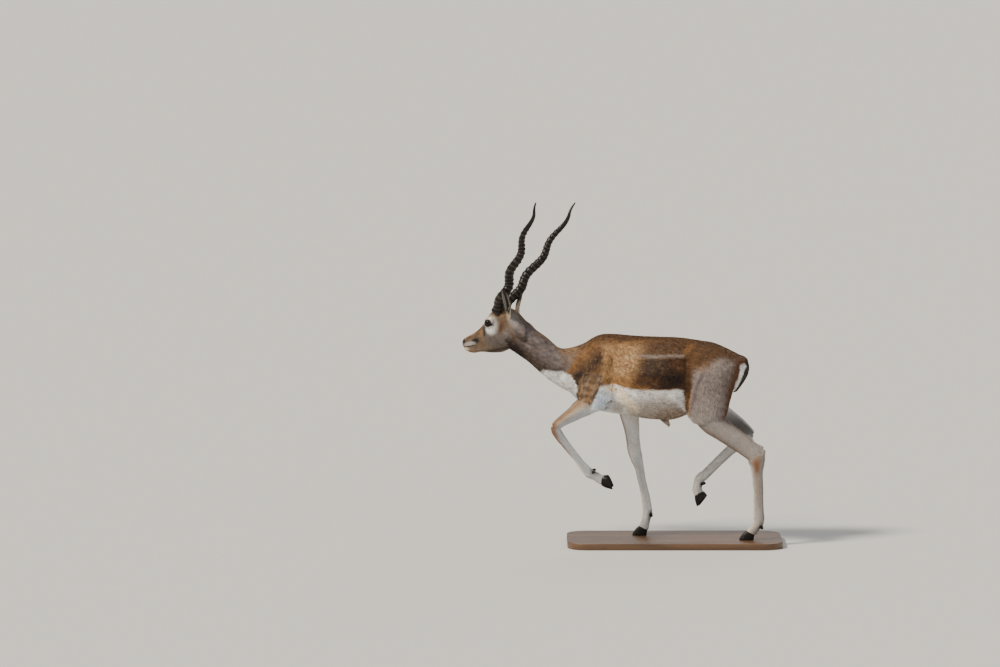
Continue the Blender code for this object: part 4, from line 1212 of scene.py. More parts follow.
bodyLines = {
    "hem": ([(-0.225, 0.618), (-0.17, 0.602), (-0.12, 0.598)], 0.01),
    "paleLine": ([(-1.0, 0.7225), (1.0, 0.7225)], 0.0062),
    "slant": ([(0.104, 0.66), (0.08, 0.62), (0.068, 0.57), (0.054, 0.52)], 0.0085),
    "fold": ([(-0.03, 0.572), (0.004, 0.552), (0.03, 0.512), (0.058, 0.467)], 0.0085),
    "ribs": ([(-0.252, 0.612), (-0.228, 0.59), (-0.203, 0.562), (-0.172, 0.523)], 0.02),
    "notch": ([(-0.254, 0.552), (-0.267, 0.548), (-0.274, 0.531), (-0.276, 0.511)], 0.0042),
    "dusky": ([(-0.388, 0.638), (-0.345, 0.672), (-0.3, 0.724)], 0.0285),
}
# edges: height against x for the first, x against height for the others
bodyEdges = {
    "whiteLine": [
        (-0.5, 0.68),
        (-0.446, 0.664),
        (-0.417, 0.6485),
        (-0.388, 0.609),
        (-0.386, 0.45),
        (-0.34, 0.45),
        (-0.336, 0.521),
        (-0.312, 0.575),
        (-0.29, 0.617),
        (-0.262, 0.619),
        (-0.236, 0.617),
        (-0.205, 0.603),
        (-0.18, 0.596),
        (0.0, 0.594),
        (0.028, 0.588),
        (0.045, 0.56),
        (0.06, 0.525),
    ],
    "saddleFront": [(0.59, -0.2), (0.614, -0.172), (0.663, -0.155), (0.71, -0.135)],
    "thighRear": [
        (0.5, 0.207),
        (0.528, 0.2145),
        (0.573, 0.2229),
        (0.651, 0.2396),
        (0.682, 0.2424),
        (0.7, 0.252),
    ],
    "bellyEnd": [(0.452, 0.078), (0.506, 0.041), (0.536, 0.029), (0.575, 0.0195)],
    "tailFront": [(0.595, 0.238), (0.644, 0.255), (0.678, 0.269), (0.717, 0.261)],
    "neckBase": [(0.6, -0.46), (0.64, -0.445), (0.662, -0.428), (0.715, -0.395), (0.78, -0.35), (0.8, -0.34)],
}


def bodyFields(points, normals):
    # what the layers are worked out from: wandering places, three patterns and the larger areas
    fine = ripple(points, 0.0022, 6)
    x = points[:, 0] + 0.006 * ripple(points, 0.014, 3) + 0.004 * fine
    z = points[:, 2] - groundLevel + 0.005 * ripple(points, 0.012, 4) + 0.003 * fine
    aside = np.abs(points[:, 1])
    flank = smoothStep(np.abs(normals[:, 1]), 0.3, 0.7)
    slant = points @ np.array([[1.0, 0.0, 0.0], [0.0, 0.5, 0.0], [0.35, 0.0, 0.5]])
    at = SimpleNamespace(x=x, z=z, aside=aside, flank=flank, up=normals[:, 2])
    at.fleck = mottled(points, 0.0038, 21, (0.6, 1.0, 1.0))
    at.coarse = streaked(points, 0.004, 22)
    at.curl = mottled(slant, 0.0036, 25)
    at.side = flank * smoothStep(x, -0.303, -0.276) * fade(x, 0.02, 0.036)
    at.fore = at.side * fade(x - 0.4 * (z - 0.66), -0.2, -0.12) * fade(z, 0.755, 0.785)
    at.pale = oval(x, z, (-0.185, 0.69), (0.06, 0.045), 0.5)
    at.pale += 0.6 * oval(x, z, (-0.2, 0.745), (0.07, 0.022), 0.5)
    at.above = at.side * smoothStep(x, -0.175, -0.085) * smoothStep(z, 0.722, 0.735)
    at.above *= fade(z, 0.762, 0.785)
    at.saddle = at.side * smoothStep(x - edgeAt(z, bodyEdges["saddleFront"]), -0.036, 0.036)
    at.saddle *= smoothStep(z, 0.59, 0.606) * fade(z, 0.706, 0.722)
    warmRear = oval(x, z, (0.008, 0.69), (0.02, 0.022), 0.6)
    at.warm = np.maximum(warmRear, oval(x, z, (-0.13, 0.622), (0.055, 0.02), 0.6))
    at.below = flank * fade(z, 0.64, 0.675) * smoothStep(x, -0.42, -0.395) * fade(x, -0.29, -0.272)
    for name, line in bodyLines.items():
        setattr(at, name, lined(x, z, *line))
    at.dusky *= flank * fade(x, -0.292, -0.274)
    at.thigh = smoothStep(x, 0.04, 0.07) * fade(z + 0.22 * (0.16 - x), 0.672, 0.716)
    at.past = x - edgeAt(z, bodyEdges["thighRear"])
    line = edgeAt(x, bodyEdges["whiteLine"])
    middle = fade(z, 0.548, 0.566) * fade(aside, 0.03, 0.05)
    at.belly = np.maximum(fade(z, line - 0.006, line + 0.006), middle)
    at.belly *= fade(x - edgeAt(z, bodyEdges["bellyEnd"]), -0.003, 0.005)
    at.sunk = z - 0.05 * (x + 0.1)
    at.ribEdge = (at.belly + 0.4 * at.side) * at.ribs
    at.inward = -np.sign(points[:, 1]) * normals[:, 1]
    at.tailward = x - edgeAt(z, bodyEdges["tailFront"])
    return at


def paintBody(points, normals):
    at = bodyFields(points, normals)
    colour = bareCoat(points, "back")
    layAll(colour, at, bodyLayers)
    return colour * (1.0 + 0.3 * (at.fleck - 0.5) + 0.24 * (at.coarse - 0.5))[:, None]


neckMarks = {
    "napePatch": ((-0.632, 0.858), (0.018, 0.03), 0.7),
    "throatPatch": ((-0.628, 0.742), (0.05, 0.022), 0.6, -50.0),
    "chestLine": [(-0.56, 0.64), (-0.52, 0.67), (-0.47, 0.66), (-0.446, 0.664), (-0.38, 0.6), (-0.3, 0.59)],
}


def paintNeck(points, normals):
    x, z = points[:, 0], points[:, 2] - groundLevel + 0.004 * ripple(points, 0.014, 8)
    top, under = normals[:, 2], -normals[:, 2]
    fleck = mottled(points, 0.0036, 41, (0.6, 1.0, 0.8))
    colour = bareCoat(points, "neck")
    lay(colour, "neckBlue", streaked(points, 0.0032, 42, (0.6, 1.0, 1.0)) * 0.85)
    lay(colour, "neckTop", smoothStep(top, 0.5, 0.92) * 0.85)
    lay(colour, "neckTop", smoothStep(x, -0.455, -0.405) * smoothStep(z, 0.69, 0.72) * 0.45)
    lay(colour, "neckLow", smoothStep(under, -0.25, 0.45) * 0.85)
    lay(colour, "thighEdge", smoothStep(under, 0.62, 0.92) * 0.55)
    base = smoothStep(x, -0.475, -0.42) * smoothStep(z, 0.66, 0.69)
    lay(colour, "tan", base * mottled(points, 0.0036, 43) * 0.45)
    lay(colour, "greyBrown", smoothStep(fleck, 0.6, 0.95) * 0.45)
    lay(colour, "ringGrey", oval(x, z, *neckMarks["napePatch"]) * 0.5)
    lay(colour, "throat", oval(x, z, *neckMarks["throatPatch"]) * 0.9)
    line = edgeAt(x, neckMarks["chestLine"])
    lay(colour, "white", fade(z, line - 0.007, line + 0.007))
    return colour * (1.0 + 0.45 * (fleck - 0.5))[:, None]


def paintGaskin(colour, at):
    high = smoothStep(at.z, 0.4, 0.52)
    lay(colour, "gaskin", at.outside * 0.95)
    lay(colour, "thigh", at.outside * high * 0.25)
    edge = bell(at.front, 0.8, 0.16) * smoothStep(at.facing, 0.0, 0.4)
    lay(colour, "legBrown", edge * (1.0 - high) * 0.6)
    back = smoothStep(-at.front, 0.6, 0.95) * at.outside
    lay(colour, "thighEdge", back * smoothStep(at.z, 0.37, 0.42) * 0.45)
    # painted shade: dark within, as if the inner side lay in shadow, pale round the edge
    within = smoothStep(-at.facing, 0.15, 0.6) * fade(np.abs(at.front), 0.62, 0.88)
    lay(colour, "dusk", within * (0.65 + 0.3 * at.fleck))


def paintForearm(colour, at):
    near = smoothStep(at.facing, -0.75, -0.35)
    lay(colour, "sand", smoothStep(at.front, -0.25, 0.25) * near * 0.8)
    lay(colour, "legBrown", bell(at.front, 0.62, 0.22) * near * (0.6 + 0.4 * at.fleck))
    lay(colour, "saddle", smoothStep(at.front, 0.8, 0.97) * near * 0.75)
    line = bell(at.front, -0.15, 0.15) * smoothStep(at.facing, 0.1, 0.5)
    lay(colour, "greyBrown", line * smoothStep(at.part, 0.3, 0.55) * 0.45)
    knee = smoothStep(at.part, 0.78, 0.95) * smoothStep(at.front, -0.35, 0.25) * near
    lay(colour, "legBrown", knee * 0.85)


def paintHindShank(colour, at):
    lay(colour, "legGrey", smoothStep(-at.front, 0.2, 0.75) * 0.65)
    middle = bell(at.front, 0.05, 0.42) * smoothStep(at.facing, 0.15, 0.6)
    down = 0.85 * fade(at.part, 0.24, 0.42) + 0.38 * fade(at.part, 0.6, 0.95)
    lay(colour, "legBrown", middle * np.minimum(1.15 * down, 0.97))
    lay(colour, "legWhite", smoothStep(at.front, 0.6, 0.88) * smoothStep(at.part, 0.15, 0.3) * 0.85)


def paintForeShank(colour, at):
    near = smoothStep(at.facing, -0.75, -0.25)
    lay(colour, "legGrey", smoothStep(-np.abs(at.front - 0.05), -0.65, -0.15) * 0.4)
    knee = fade(at.part, 0.16, 0.3) * smoothStep(at.front, -0.3, 0.3)
    edge = smoothStep(at.front, 0.38, 0.72) * fade(at.part, 0.45, 0.75)
    lay(colour, "legBrown", np.maximum(knee, edge) * near * 0.85)
    lay(colour, "saddle", knee * near * smoothStep(at.fleck, 0.55, 0.95) * 0.55)
    lay(colour, "cream", smoothStep(at.front, 0.4, 0.8) * smoothStep(at.part, 0.5, 0.75) * 0.6)


def paintPastern(colour, at):
    low = 0.3 + 0.5 * smoothStep(at.part, 0.8, 0.98)
    lay(colour, "legGrey", low * smoothStep(-at.front, -0.6, 0.2))
    lay(colour, "cream", smoothStep(at.front, 0.3, 0.9) * 0.5)


def paintLeg(points, normals, name, part, way):
    outer = -1.0 if "Left" in name else 1.0
    facing = outer * normals[:, 1]
    # front is 1 where the hair faces forward, square to the limb
    front = normals[:, 0] * way[:, 2] - normals[:, 2] * way[:, 0] + 0.12 * ripple(points, 0.003, 31)
    at = SimpleNamespace(
        part=part,
        facing=facing,
        front=front,
        z=points[:, 2] - groundLevel + 0.004 * ripple(points, 0.012, 9),
        fleck=streaked(points, 0.0012, 32, (1.0, 1.0, 0.5)),
        outside=smoothStep(facing, -0.15, 0.35),
    )
    hind = not (name.startswith("forearm") or "Fore" in name)
    colour = bareCoat(points, "leg")
    if hind:
        lay(colour, "bellyGrey", np.full(len(points), 0.45))
    else:
        # painted shade: the fore legs' white tinted blue as if in shadow
        lay(colour, "blueWhite", np.full(len(points), 0.35))
    lay(colour, "legWhite", smoothStep(-facing, -0.1, 0.5) * 0.8)
    if name.startswith(("gaskin", "tendon", "heel")):
        paintGaskin(colour, at)
    if name.startswith("forearm"):
        paintForearm(colour, at)
    if name.startswith("shank") and hind:
        paintHindShank(colour, at)
    if name.startswith("shank") and not hind:
        paintForeShank(colour, at)
    if name.startswith("pastern"):
        paintPastern(colour, at)
    # dark hair round the dewclaws
    dark = np.zeros(len(points))
    for place, _ in dewclawMake["places"].values():
        away = rowLengths((points - place - (0.0, 0.0, groundLevel)) * (1.0, 0.75, 1.0))
        dark = np.maximum(dark, fade(away, 0.013, 0.021))
    lay(colour, "throat", dark * 0.75)
    return colour * (1.0 + 0.2 * (at.fleck - 0.5))[:, None]


# the head's colours from the lowest to the topmost: how much, and where, ahead (x) and up (z) from its pivot
headLayers = [
    # cheek, brow and bridge of the nose
    ("cheek", 0.92, ("patch", (0.055, -0.048), (0.07, 0.05), 0.5)),
    ("neckBlue", 0.65, "coarse", ("patch", (0.055, -0.055), (0.055, 0.035), 0.6)),
    ("greyBrown", 0.62, ("fleck", 0.45, 0.85)),
    ("thighEdge", 0.7, ("patch", (0.042, 0.002), (0.014, 0.024), 0.8, 20)),
    ("thighEdge", 0.75, ("patch", (0.05, -0.015), (0.008, 0.016), 0.7)),
    ("thighEdge", 0.6, "coarse", ("patch", (0.128, -0.078), (0.014, 0.01), 0.7)),
    ("crown", 0.6, ("z", 0.036, 0.056), ("rise", 0.3, 0.8)),
    ("tan", 0.5, ("patch", (0.06, 0.044), (0.02, 0.01), 0.5)),
    ("tan", 0.55, ("patch", (0.138, -0.036), (0.014, 0.02), 0.5)),
    ("bridge", 0.9, ("rise", 0.4, 0.75), ("x", 0.1, 0.13), ("x", 0.208, 0.198)),
    # dark streaks and spots of the muzzle
    ("thighEdge", 0.85, ("line", [(0.164, -0.033), (0.15, -0.0245), (0.136, -0.016)], 0.0042)),
    ("thighEdge", 0.75, ("patch", (0.149, -0.039), (0.006, 0.005), 0.5)),
    ("thighEdge", 0.75, ("patch", (0.19, -0.055), (0.006, 0.004), 0.5)),
    ("thighEdge", 0.7, "beside", ("line", [(0.196, -0.05), (0.2, -0.078)], 0.004)),
    ("greyBrown", 0.75, "beside", ("patch", (0.16, -0.066), (0.026, 0.019), 0.6, -12)),
    ("muzzle", 1, "beside", ("patch", (0.162, -0.0675), (0.0165, 0.0098), 0.4, -12)),
    # pale round the eye, whitest below it, and dark hair along the slit in front of it
    ("ringGrey", 1, "ring"),
    ("white", 1, "ring", ("patch", (0.093, -0.02), (0.02, 0.017), 0.6)),
    ("cream", 0.8, "ring", ("patch", (0.102, 0.028), (0.02, 0.01), 0.6)),
    ("muzzle", 0.9, "beside", ("line", headCarve["gland"], 0.0062)),
    # chin and lips, the lower edge of the jaw and its back
    ("fawn", 0.85, ("x", 0.12, 0.16), ("z", -0.09, -0.102)),
    ("cream", 0.9, ("patch", (0.206, -0.1), (0.016, 0.007), 0.5)),
    ("orange", 0.65, "chinSpots"),
    ("ringGrey", 0.85, "beside", ("patch", (0.186, -0.079), (0.024, 0.0085), 0.4, -8)),
    ("saddle", 0.75, ("line", [(0.11, -0.106), (0.0965, -0.1035), (0.037, -0.09), (0.016, -0.08)], 0.0055)),
    ("thighEdge", 0.8, ("patch", (-0.003, -0.046), (0.007, 0.022), 0.7, -15)),
    ("throat", 0.95, ("patch", (-0.018, -0.08), (0.022, 0.024), 0.6)),
    # behind the ears and horns
    ("ringGrey", 0.6, ("aside", 0.018, 0.028), ("patch", (0.002, 0.03), (0.016, 0.02), 0.6)),
    # painted sunlight: an orange patch on the crown between the horns, as if its hair caught the sun
    ("orange", 0.9, ("aside", 0.02, 0.012), ("patch", (0.012, 0.068), (0.013, 0.012), 0.5)),
]


def headFields(points, normals):
    local = headLocal(points)
    at = SimpleNamespace(aside=np.abs(local[:, 1]), rise=normals @ headArray[:3, 2])
    at.x = local[:, 0] + 0.0016 * ripple(points, 0.003, 5)
    at.z = local[:, 2] + 0.0016 * ripple(points, 0.0034, 51)
    at.coarse = streaked(points, 0.0028, 52)
    at.fleck = streaked(points, 0.0012, 53)
    at.beside = smoothStep(at.aside, 0.008, 0.016)
    at.ring = oval(at.x, at.z, (0.09, -0.002), (0.029, 0.036), 0.3, -12) * smoothStep(at.aside, 0.022, 0.03)
    at.chinSpots = oval(at.x, at.z, (0.187, -0.108), (0.008, 0.004), 0.6)
    at.chinSpots += oval(at.x, at.z, (0.168, -0.11), (0.007, 0.004), 0.6)
    return at


def paintHead(points, normals):
    at = headFields(points, normals)
    colour = bareCoat(points, "face")
    layAll(colour, at, headLayers)
    colour *= (1.0 + 0.4 * (at.fleck - 0.5) + 0.3 * (at.coarse - 0.5))[:, None]
    share = fade(at.x - 0.25 * (at.z + 0.03), -0.022, 0.006)[:, None]
    colour = colour * (1.0 - share) + paintNeck(points, normals) * share
    lay(colour, "noseSkin", bareAt(points))
    local = headLocal(points)
    for side in (-1, 1):
        _, out, reach, rising = almond(local, side)
        corner = oval(np.abs(reach), rising, *eyeMake["cornerMark"])
        lay(colour, "lidSkin", nearEye(local, out, side) * corner)
    return colour


# skin with no hair: half sizes and edges of the nose pad, and half widths of the slits
bareSkin = {
    "padMiddle": -0.07,
    "padHalf": (0.021, 0.0165),
    "padSquareness": 2.4,
    "padStart": (0.209, 0.2125),
    "padSide": ((0.21, -0.07), (0.0065, 0.0095), 0.2),
    "mouth": 0.002,
    "mouthEnd": 0.23,
    "gland": 0.0044,
    "nostril": 0.0034,
    "lidRim": (1.2, 1.31),
}


def nearEye(local, out, side):
    return (rowLengths(eyeSpot(local, side)) < eyeMake["near"]) & (out > 0)


def bareAt(points):
    # nose, lips' line, nostrils, the slit below the eye, rims of the lids
    local = headLocal(points)
    ahead, aside, up = local[:, 0], np.abs(local[:, 1]), local[:, 2]
    wide, high = bareSkin["padHalf"]
    power = bareSkin["padSquareness"]
    pad = (aside / wide) ** power + (np.abs(up - bareSkin["padMiddle"]) / high) ** power
    nose = smoothStep(ahead, *bareSkin["padStart"]) * fade(pad, 0.85, 1.1)
    nose = np.maximum(nose, oval(ahead, up, *bareSkin["padSide"]))
    mouth = 1.2 * lined(ahead, up, headCarve["mouth"], bareSkin["mouth"]) * (ahead < bareSkin["mouthEnd"])
    slit = 1.3 * lined(ahead, up, headCarve["gland"], bareSkin["gland"]) * smoothStep(aside, 0.01, 0.018)
    nostril = 1.2 * bell(lineDistance(oneSide(local), headCarve["nostril"]), 0.0, bareSkin["nostril"])
    found = np.maximum(np.maximum(nose, mouth), np.maximum(slit, nostril))
    for side in (-1, 1):
        ratio, out, _, _ = almond(local, side)
        rim = fade(ratio, *bareSkin["lidRim"])
        found = np.maximum(found, nearEye(local, out, side) * rim)
    return np.clip(found, 0.0, 1.0)


def paintEar(points, name):
    side = -1 if "Left" in name else 1
    foot, tip, along, facing, across = (np.array(item) for item in earAxes(side))
    spot = headLocal(points) - foot
    reach = np.clip((spot @ along) / np.linalg.norm(tip - foot), 0.0, 1.0)
    half = ears["halfWidth"] * edgeAt(reach, ears["widths"])
    over = (spot @ across) / half
    deep = -(spot @ facing) / earDepth(half, reach)
    edge = smoothStep(np.abs(over), 0.78, 0.92)
    colour = bareCoat(points, "earInside")
    # pale lines of hair along the cup, a pale rim and a cream root
    stripes = smoothStep(np.cos(over * 8.0 + 0.6), 0.7, 0.98) * smoothStep(reach, 0.12, 0.25)
    lay(colour, "legWhite", stripes * fade(reach, 0.6, 0.9) * 0.4)
    lay(colour, "legWhite", edge * fade(reach, 0.75, 0.95) * 0.7)
    lay(colour, "cream", fade(reach, 0.1, 0.22) * 0.8)
    back = bareCoat(points, "earBack")
    lay(back, "earInside", smoothStep(reach, 0.8, 1.0))
    outer = np.sqrt(over**2 + deep**2) > 0.93
    return np.where(outer[:, None], back, colour)


def paintTail(points, normals):
    z = points[:, 2] - groundLevel
    middle = edgeAt(z, [(row[2], row[0]) for row in tailRows[:0:-1]])
    behind = points[:, 0] - middle + 0.002 * ripple(points, 0.004, 61)
    colour = bareCoat(points, "white")
    dark = np.maximum(smoothStep(behind, -0.006, -0.002), smoothStep(normals[:, 0], 0.0, 0.4))
    lay(colour, "tailTop", dark)
    lay(colour, "rump", smoothStep(z, 0.686, 0.7))
    return colour


def paintTrunk(points, normals):
    # neck and trunk run into each other behind the edge of the shoulder
    z = points[:, 2] - groundLevel
    width = 0.006 + 0.026 * smoothStep(normals[:, 2], 0.2, 0.8)
    share = smoothStep((edgeAt(z, bodyEdges["neckBase"]) - points[:, 0]) / width, -1.0, 1.0)[:, None]
    return paintBody(points, normals) * (1.0 - share) + paintNeck(points, normals) * share


trunkForms = ("neck", "trunk", "shoulderLeft", "shoulderRight", "thighLeft", "thighRight")


def formLike(names, which, starts):
    # True at the points whose form's name starts so
    return np.array([name.startswith(starts) for name in names])[which]


def paintForms(points, normals, names, lie):
    which = lie[:, 0].astype(int)
    colour = np.zeros((len(points), 3))
    for index, name in enumerate(names):
        here = which == index
        if not here.any():
            continue
        spots, faced = points[here], normals[here]
        if name.startswith("ear"):
            colour[here] = paintEar(spots, name)
        elif name == "head":
            colour[here] = paintHead(spots, faced)
        elif name == "tail":
            colour[here] = paintTail(spots, faced)
        elif name == "sheath":
            colour[here] = paintBody(spots, faced)
        elif name not in trunkForms:
            colour[here] = paintLeg(spots, faced, name, lie[here, 6], lie[here, 3:6])
    body = paintTrunk(points, normals)
    trunkLike = np.isin(which, [names.index(name) for name in trunkForms])
    colour = np.where(trunkLike[:, None], body, colour)
    # legs run into thighs and chest
    z = points[:, 2] - groundLevel
    foreLike = formLike(names, which, "forearm")
    upper = np.where(foreLike, fade(lie[:, 6], 0.02, 0.22), smoothStep(z, 0.44, 0.535))
    blend = (upper * formLike(names, which, ("gaskin", "forearm", "tendon")))[:, None]
    return colour * (1.0 - blend) + body * blend


def storeColour(mesh, colour):
    mix = np.ones((len(mesh.vertices), 4))
    mix[:, :3] = colour
    attribute = mesh.color_attributes.new("coat", "FLOAT_COLOR", "POINT")
    attribute.data.foreach_set("color", mix.astype(np.float32).ravel())


def storeValue(mesh, name, values):
    attribute = mesh.attributes.new(name, "FLOAT", "POINT")
    attribute.data.foreach_set("value", values.astype(np.float32))


def paintSkin(thing):
    mesh = thing.data
    points, normals = readPoints(mesh), readNormals(mesh)
    names, lie = readLie(points)
    which = lie[:, 0].astype(int)
    colour = paintForms(points, normals, names, lie)
    headLike = which == names.index("head")
    sharp = headLike | formLike(names, which, "ear")
    colour = np.where(sharp[:, None], colour, smoothOver(mesh, colour, 4))
    storeColour(mesh, colour)
    bare = np.where(headLike, bareAt(points), 0.0)
    storeValue(mesh, "bare", bare)
    upright = 1.0 - formLike(names, which, ("trunk", "neck", "head")).astype(float)
    storeValue(mesh, "upright", smoothOver(mesh, upright, 6))
    report("skin painted")
    return names, lie, colour, bare


# coat by form: length, width, lift, tufts per square centimetre
tufts = {
    "body": (0.0125, 0.0019, 0.135, 38.0),
    "neck": (0.012, 0.0018, 0.135, 40.0),
    "throat": (0.018, 0.002, 0.2, 40.0),
    "leg": (0.0065, 0.0012, 0.1, 48.0),
    "head": (0.005, 0.001, 0.1, 85.0),
    "ear": (0.0055, 0.0009, 0.13, 90.0),
    "tail": (0.025, 0.0022, 0.11, 80.0),
    "sheath": (0.02, 0.0018, 0.18, 100.0),
    "amount": 1.0,
    "mostFaces": 195000,
    "turn": 0.45,
    "splay": 0.13,
    "lengths": (0.7, 1.25),
    "widths": (0.7, 1.2),
    "lifts": (0.4, 1.4),
    "uneven": 0.16,
    "seed": 20,
}


def tuftKind(name):
    if name.startswith("ear"):
        return "ear"
    if name in ("head", "tail", "neck", "sheath"):
        return name
    if name.startswith(("trunk", "thigh", "shoulder")):
        return "body"
    return "leg"


def spreadLie(mesh, names, lie):
    # the hair turns slowly from one form to the next, and at once only round the ears
    which = lie[:, 0].astype(int)
    small = formLike(names, which, ("ear", "tail", "sheath"))
    way = lie[:, 3:6].copy()
    edges = edgePairs(mesh)
    for _ in range(110):
        spread = 0.3 * way + 0.7 * neighbourMean(edges, way)
        way = np.where(small[:, None], way, spread)
    return smoothOver(mesh, way, 3)


# each tuft is three triangles on five corners, from its root to its tip
blade = {
    "triangles": [(0, 1, 3), (0, 3, 2), (2, 3, 4)],
    "shades": (0.8, 0.8, 1.0, 1.0, 1.2),
    "sink": 0.0004,
    "clear": 0.0003,
    "middleRise": 0.6,
    "tipRise": 0.8,
    "patch": 0.0014,
    "patchCorners": [(-1, -1), (1, -1), (-1, 0), (1, 0), (0, 1)],
}


def coatTable(mesh, names, lie, points, normals):
    # the coat's measures at each point, longer under the throat and chest
    which = lie[:, 0].astype(int)
    table = np.array([tufts[tuftKind(name)] for name in names])[which]
    under = smoothStep(-normals[:, 2], 0.2, 0.7) * smoothStep(points[:, 0], -0.64, -0.6)
    under *= fade(points[:, 0], -0.42, -0.36)
    under *= np.isin(which, [names.index("neck"), names.index("trunk")])
    table = table + (np.array(tufts["throat"]) - table) * under[:, None]
    return smoothOver(mesh, table, 6)


def sowRoots(mesh, points, perArea, bare, draw):
    # for each root: the three corners of its triangle, and their shares
    count = len(mesh.polygons)
    corners = np.empty(count * 3, np.int32)
    mesh.polygons.foreach_get("vertices", corners)
    corners = corners.reshape(-1, 3)
    first, second, third = points[corners[:, 0]], points[corners[:, 1]], points[corners[:, 2]]
    area = 0.5 * rowLengths(np.cross(second - first, third - first))
    density = perArea[corners].mean(axis=1) * 1e4 * (1.0 - bare[corners].max(axis=1)) * tufts["amount"]
    number = np.floor(area * density + draw.random(count)).astype(int)
    face = np.repeat(np.arange(count), number)
    weight = draw.random((len(face), 2))
    over = weight.sum(axis=1) > 1
    weight[over] = 1 - weight[over]
    return corners[face], np.column_stack([1 - weight.sum(axis=1), weight])


def overSkin(spots, height, tree, points, normals):
    # the spots at their height over the nearest point of the skin
    found = np.array([tree.find(spot)[1] for spot in spots.tolist()])
    over = ((spots - points[found]) * normals[found]).sum(axis=1)
    return spots - normals[found] * (over - height)[:, None]


def makeCoatPiece(name, spots, tint, flat):
    starts = spots.shape[1] * np.arange(len(spots))
    faces = (np.array(blade["triangles"])[None] + starts[:, None, None]).reshape(-1, 3)
    mesh = meshFromArrays(name, spots.reshape(-1, 3), faces)
    piece = linkObject(name, mesh)
    storeColour(mesh, (tint[:, None, :] * np.array(blade["shades"])[None, :, None]).reshape(-1, 3))
    patch = np.array(blade["patchCorners"]) * blade["patch"]
    place = (flat[:, None, :] + patch[None]).reshape(-1, 2)
    layer = mesh.uv_layers.new(name="OFBake")
    layer.data.foreach_set("uv", place[faces.ravel()].astype(np.float32).ravel())
    smoothShade(piece)
    return piece


def growCoat(thing, names, lie, colour, bare):
    mesh = thing.data
    draw = np.random.default_rng(tufts["seed"])
    points, normals = readPoints(mesh), readNormals(mesh)
    table = coatTable(mesh, names, lie, points, normals)
    lieWay = spreadLie(mesh, names, lie)
    pick, shares = sowRoots(mesh, points, table[:, 3], bare, draw)
    total = len(pick)

    def blend(values):
        # a value at each root, out of those at its three corners
        return (values[pick] * shares.reshape(total, 3, *([1] * (values.ndim - 1)))).sum(axis=1)

    root, normal, way = blend(points), unit(blend(normals)), blend(lieWay)
    way = unit(way - normal * (way * normal).sum(axis=1)[:, None])
    way = unit(way + np.cross(normal, way) * draw.normal(0.0, tufts["splay"], total)[:, None])
    size = blend(table)
    length = size[:, 0] * draw.uniform(*tufts["lengths"], total)
    half = (size[:, 1] * draw.uniform(*tufts["widths"], total) * 0.5)[:, None]
    lift = size[:, 2] * draw.uniform(*tufts["lifts"], total)
    # each blade is turned a little about its own length, so that the light breaks up
    lean = draw.normal(0.0, tufts["turn"], total)[:, None]
    across = np.cross(normal, way) * np.cos(lean) + normal * np.sin(lean)
    start = root - normal * blade["sink"]
    middleHeight = blade["clear"] + blade["middleRise"] * length * lift
    tipHeight = blade["tipRise"] * length * lift
    middle = root + way * (0.5 * length)[:, None] + normal * middleHeight[:, None]
    tip = root + way * length[:, None] + normal * tipHeight[:, None]
    tree = kdtree.KDTree(len(points))
    for number, point in enumerate(points.tolist()):
        tree.insert(point, number)
    tree.balance()
    middle = overSkin(middle, middleHeight, tree, points, normals)
    tip = overSkin(tip, tipHeight, tree, points, normals)
    spots = np.stack(
        [start - across * half, start + across * half, middle - across * half, middle + across * half, tip],
        axis=1,
    )
    # on the trunk the markings are worked out again at each root
    tint = blend(colour)
    onTrunk = np.isin(lie[pick, 0].astype(int), [names.index(name) for name in trunkForms]).all(axis=1)
    tint[onTrunk] = paintTrunk(root[onTrunk], normal[onTrunk])
    uneven = 1.0 + tufts["uneven"] * draw.standard_normal(total) + 0.1 * ripple(root, 0.01, 12)
    tint *= uneven.clip(0.6, 1.5)[:, None]
    flat = lie[pick[np.arange(total), shares.argmax(axis=1)], 1:3]
    keep = np.maximum(bareAt(tip), bareAt(middle)) < 0.35
    order = np.argsort(root[:, 0], kind="stable")
    order = order[keep[order]]
    perPiece = tufts["mostFaces"] // len(blade["triangles"])
    pieces = []
    for first in range(0, len(order), perPiece):
        chosen = order[first : first + perPiece]
        name = "coat%d" % (len(pieces) + 1)
        pieces.append(makeCoatPiece(name, spots[chosen], tint[chosen], flat[chosen]))
    report("coat grown, %d tufts in %d pieces" % (len(order), len(pieces)))
    return pieces


def newMaterial(name, roughness, specular=0.5, sheen=0.0, coatGloss=0.0):
    material = bpy.data.materials.new(name)
    material.use_nodes = True
    shader = material.node_tree.nodes["Principled BSDF"]
    shader.inputs["Roughness"].default_value = roughness
    shader.inputs["Specular IOR Level"].default_value = specular
    shader.inputs["Sheen Weight"].default_value = sheen
    shader.inputs["Sheen Roughness"].default_value = 0.5
    shader.inputs["Coat Weight"].default_value = coatGloss
    shader.inputs["Coat Roughness"].default_value = 0.06
    return material, material.node_tree, shader


def addNode(tree, kind, **values):
    node = tree.nodes.new(kind)
    for key, value in values.items():
        setattr(node, key, value)
    return node


def readAttribute(tree, name):
    return addNode(tree, "ShaderNodeAttribute", attribute_name=name)


def noiseOf(tree, stretch, scale, detail=3.0, distortion=0.0):
    place = addNode(tree, "ShaderNodeTexCoord")
    mapping = addNode(tree, "ShaderNodeMapping")
    mapping.inputs["Scale"].default_value = stretch
    noise = addNode(tree, "ShaderNodeTexNoise")
    noise.inputs["Scale"].default_value = scale
    noise.inputs["Detail"].default_value = detail
    noise.inputs["Distortion"].default_value = distortion
    tree.links.new(place.outputs["Object"], mapping.inputs["Vector"])
    tree.links.new(mapping.outputs["Vector"], noise.inputs["Vector"])
    return noise.outputs["Fac"]


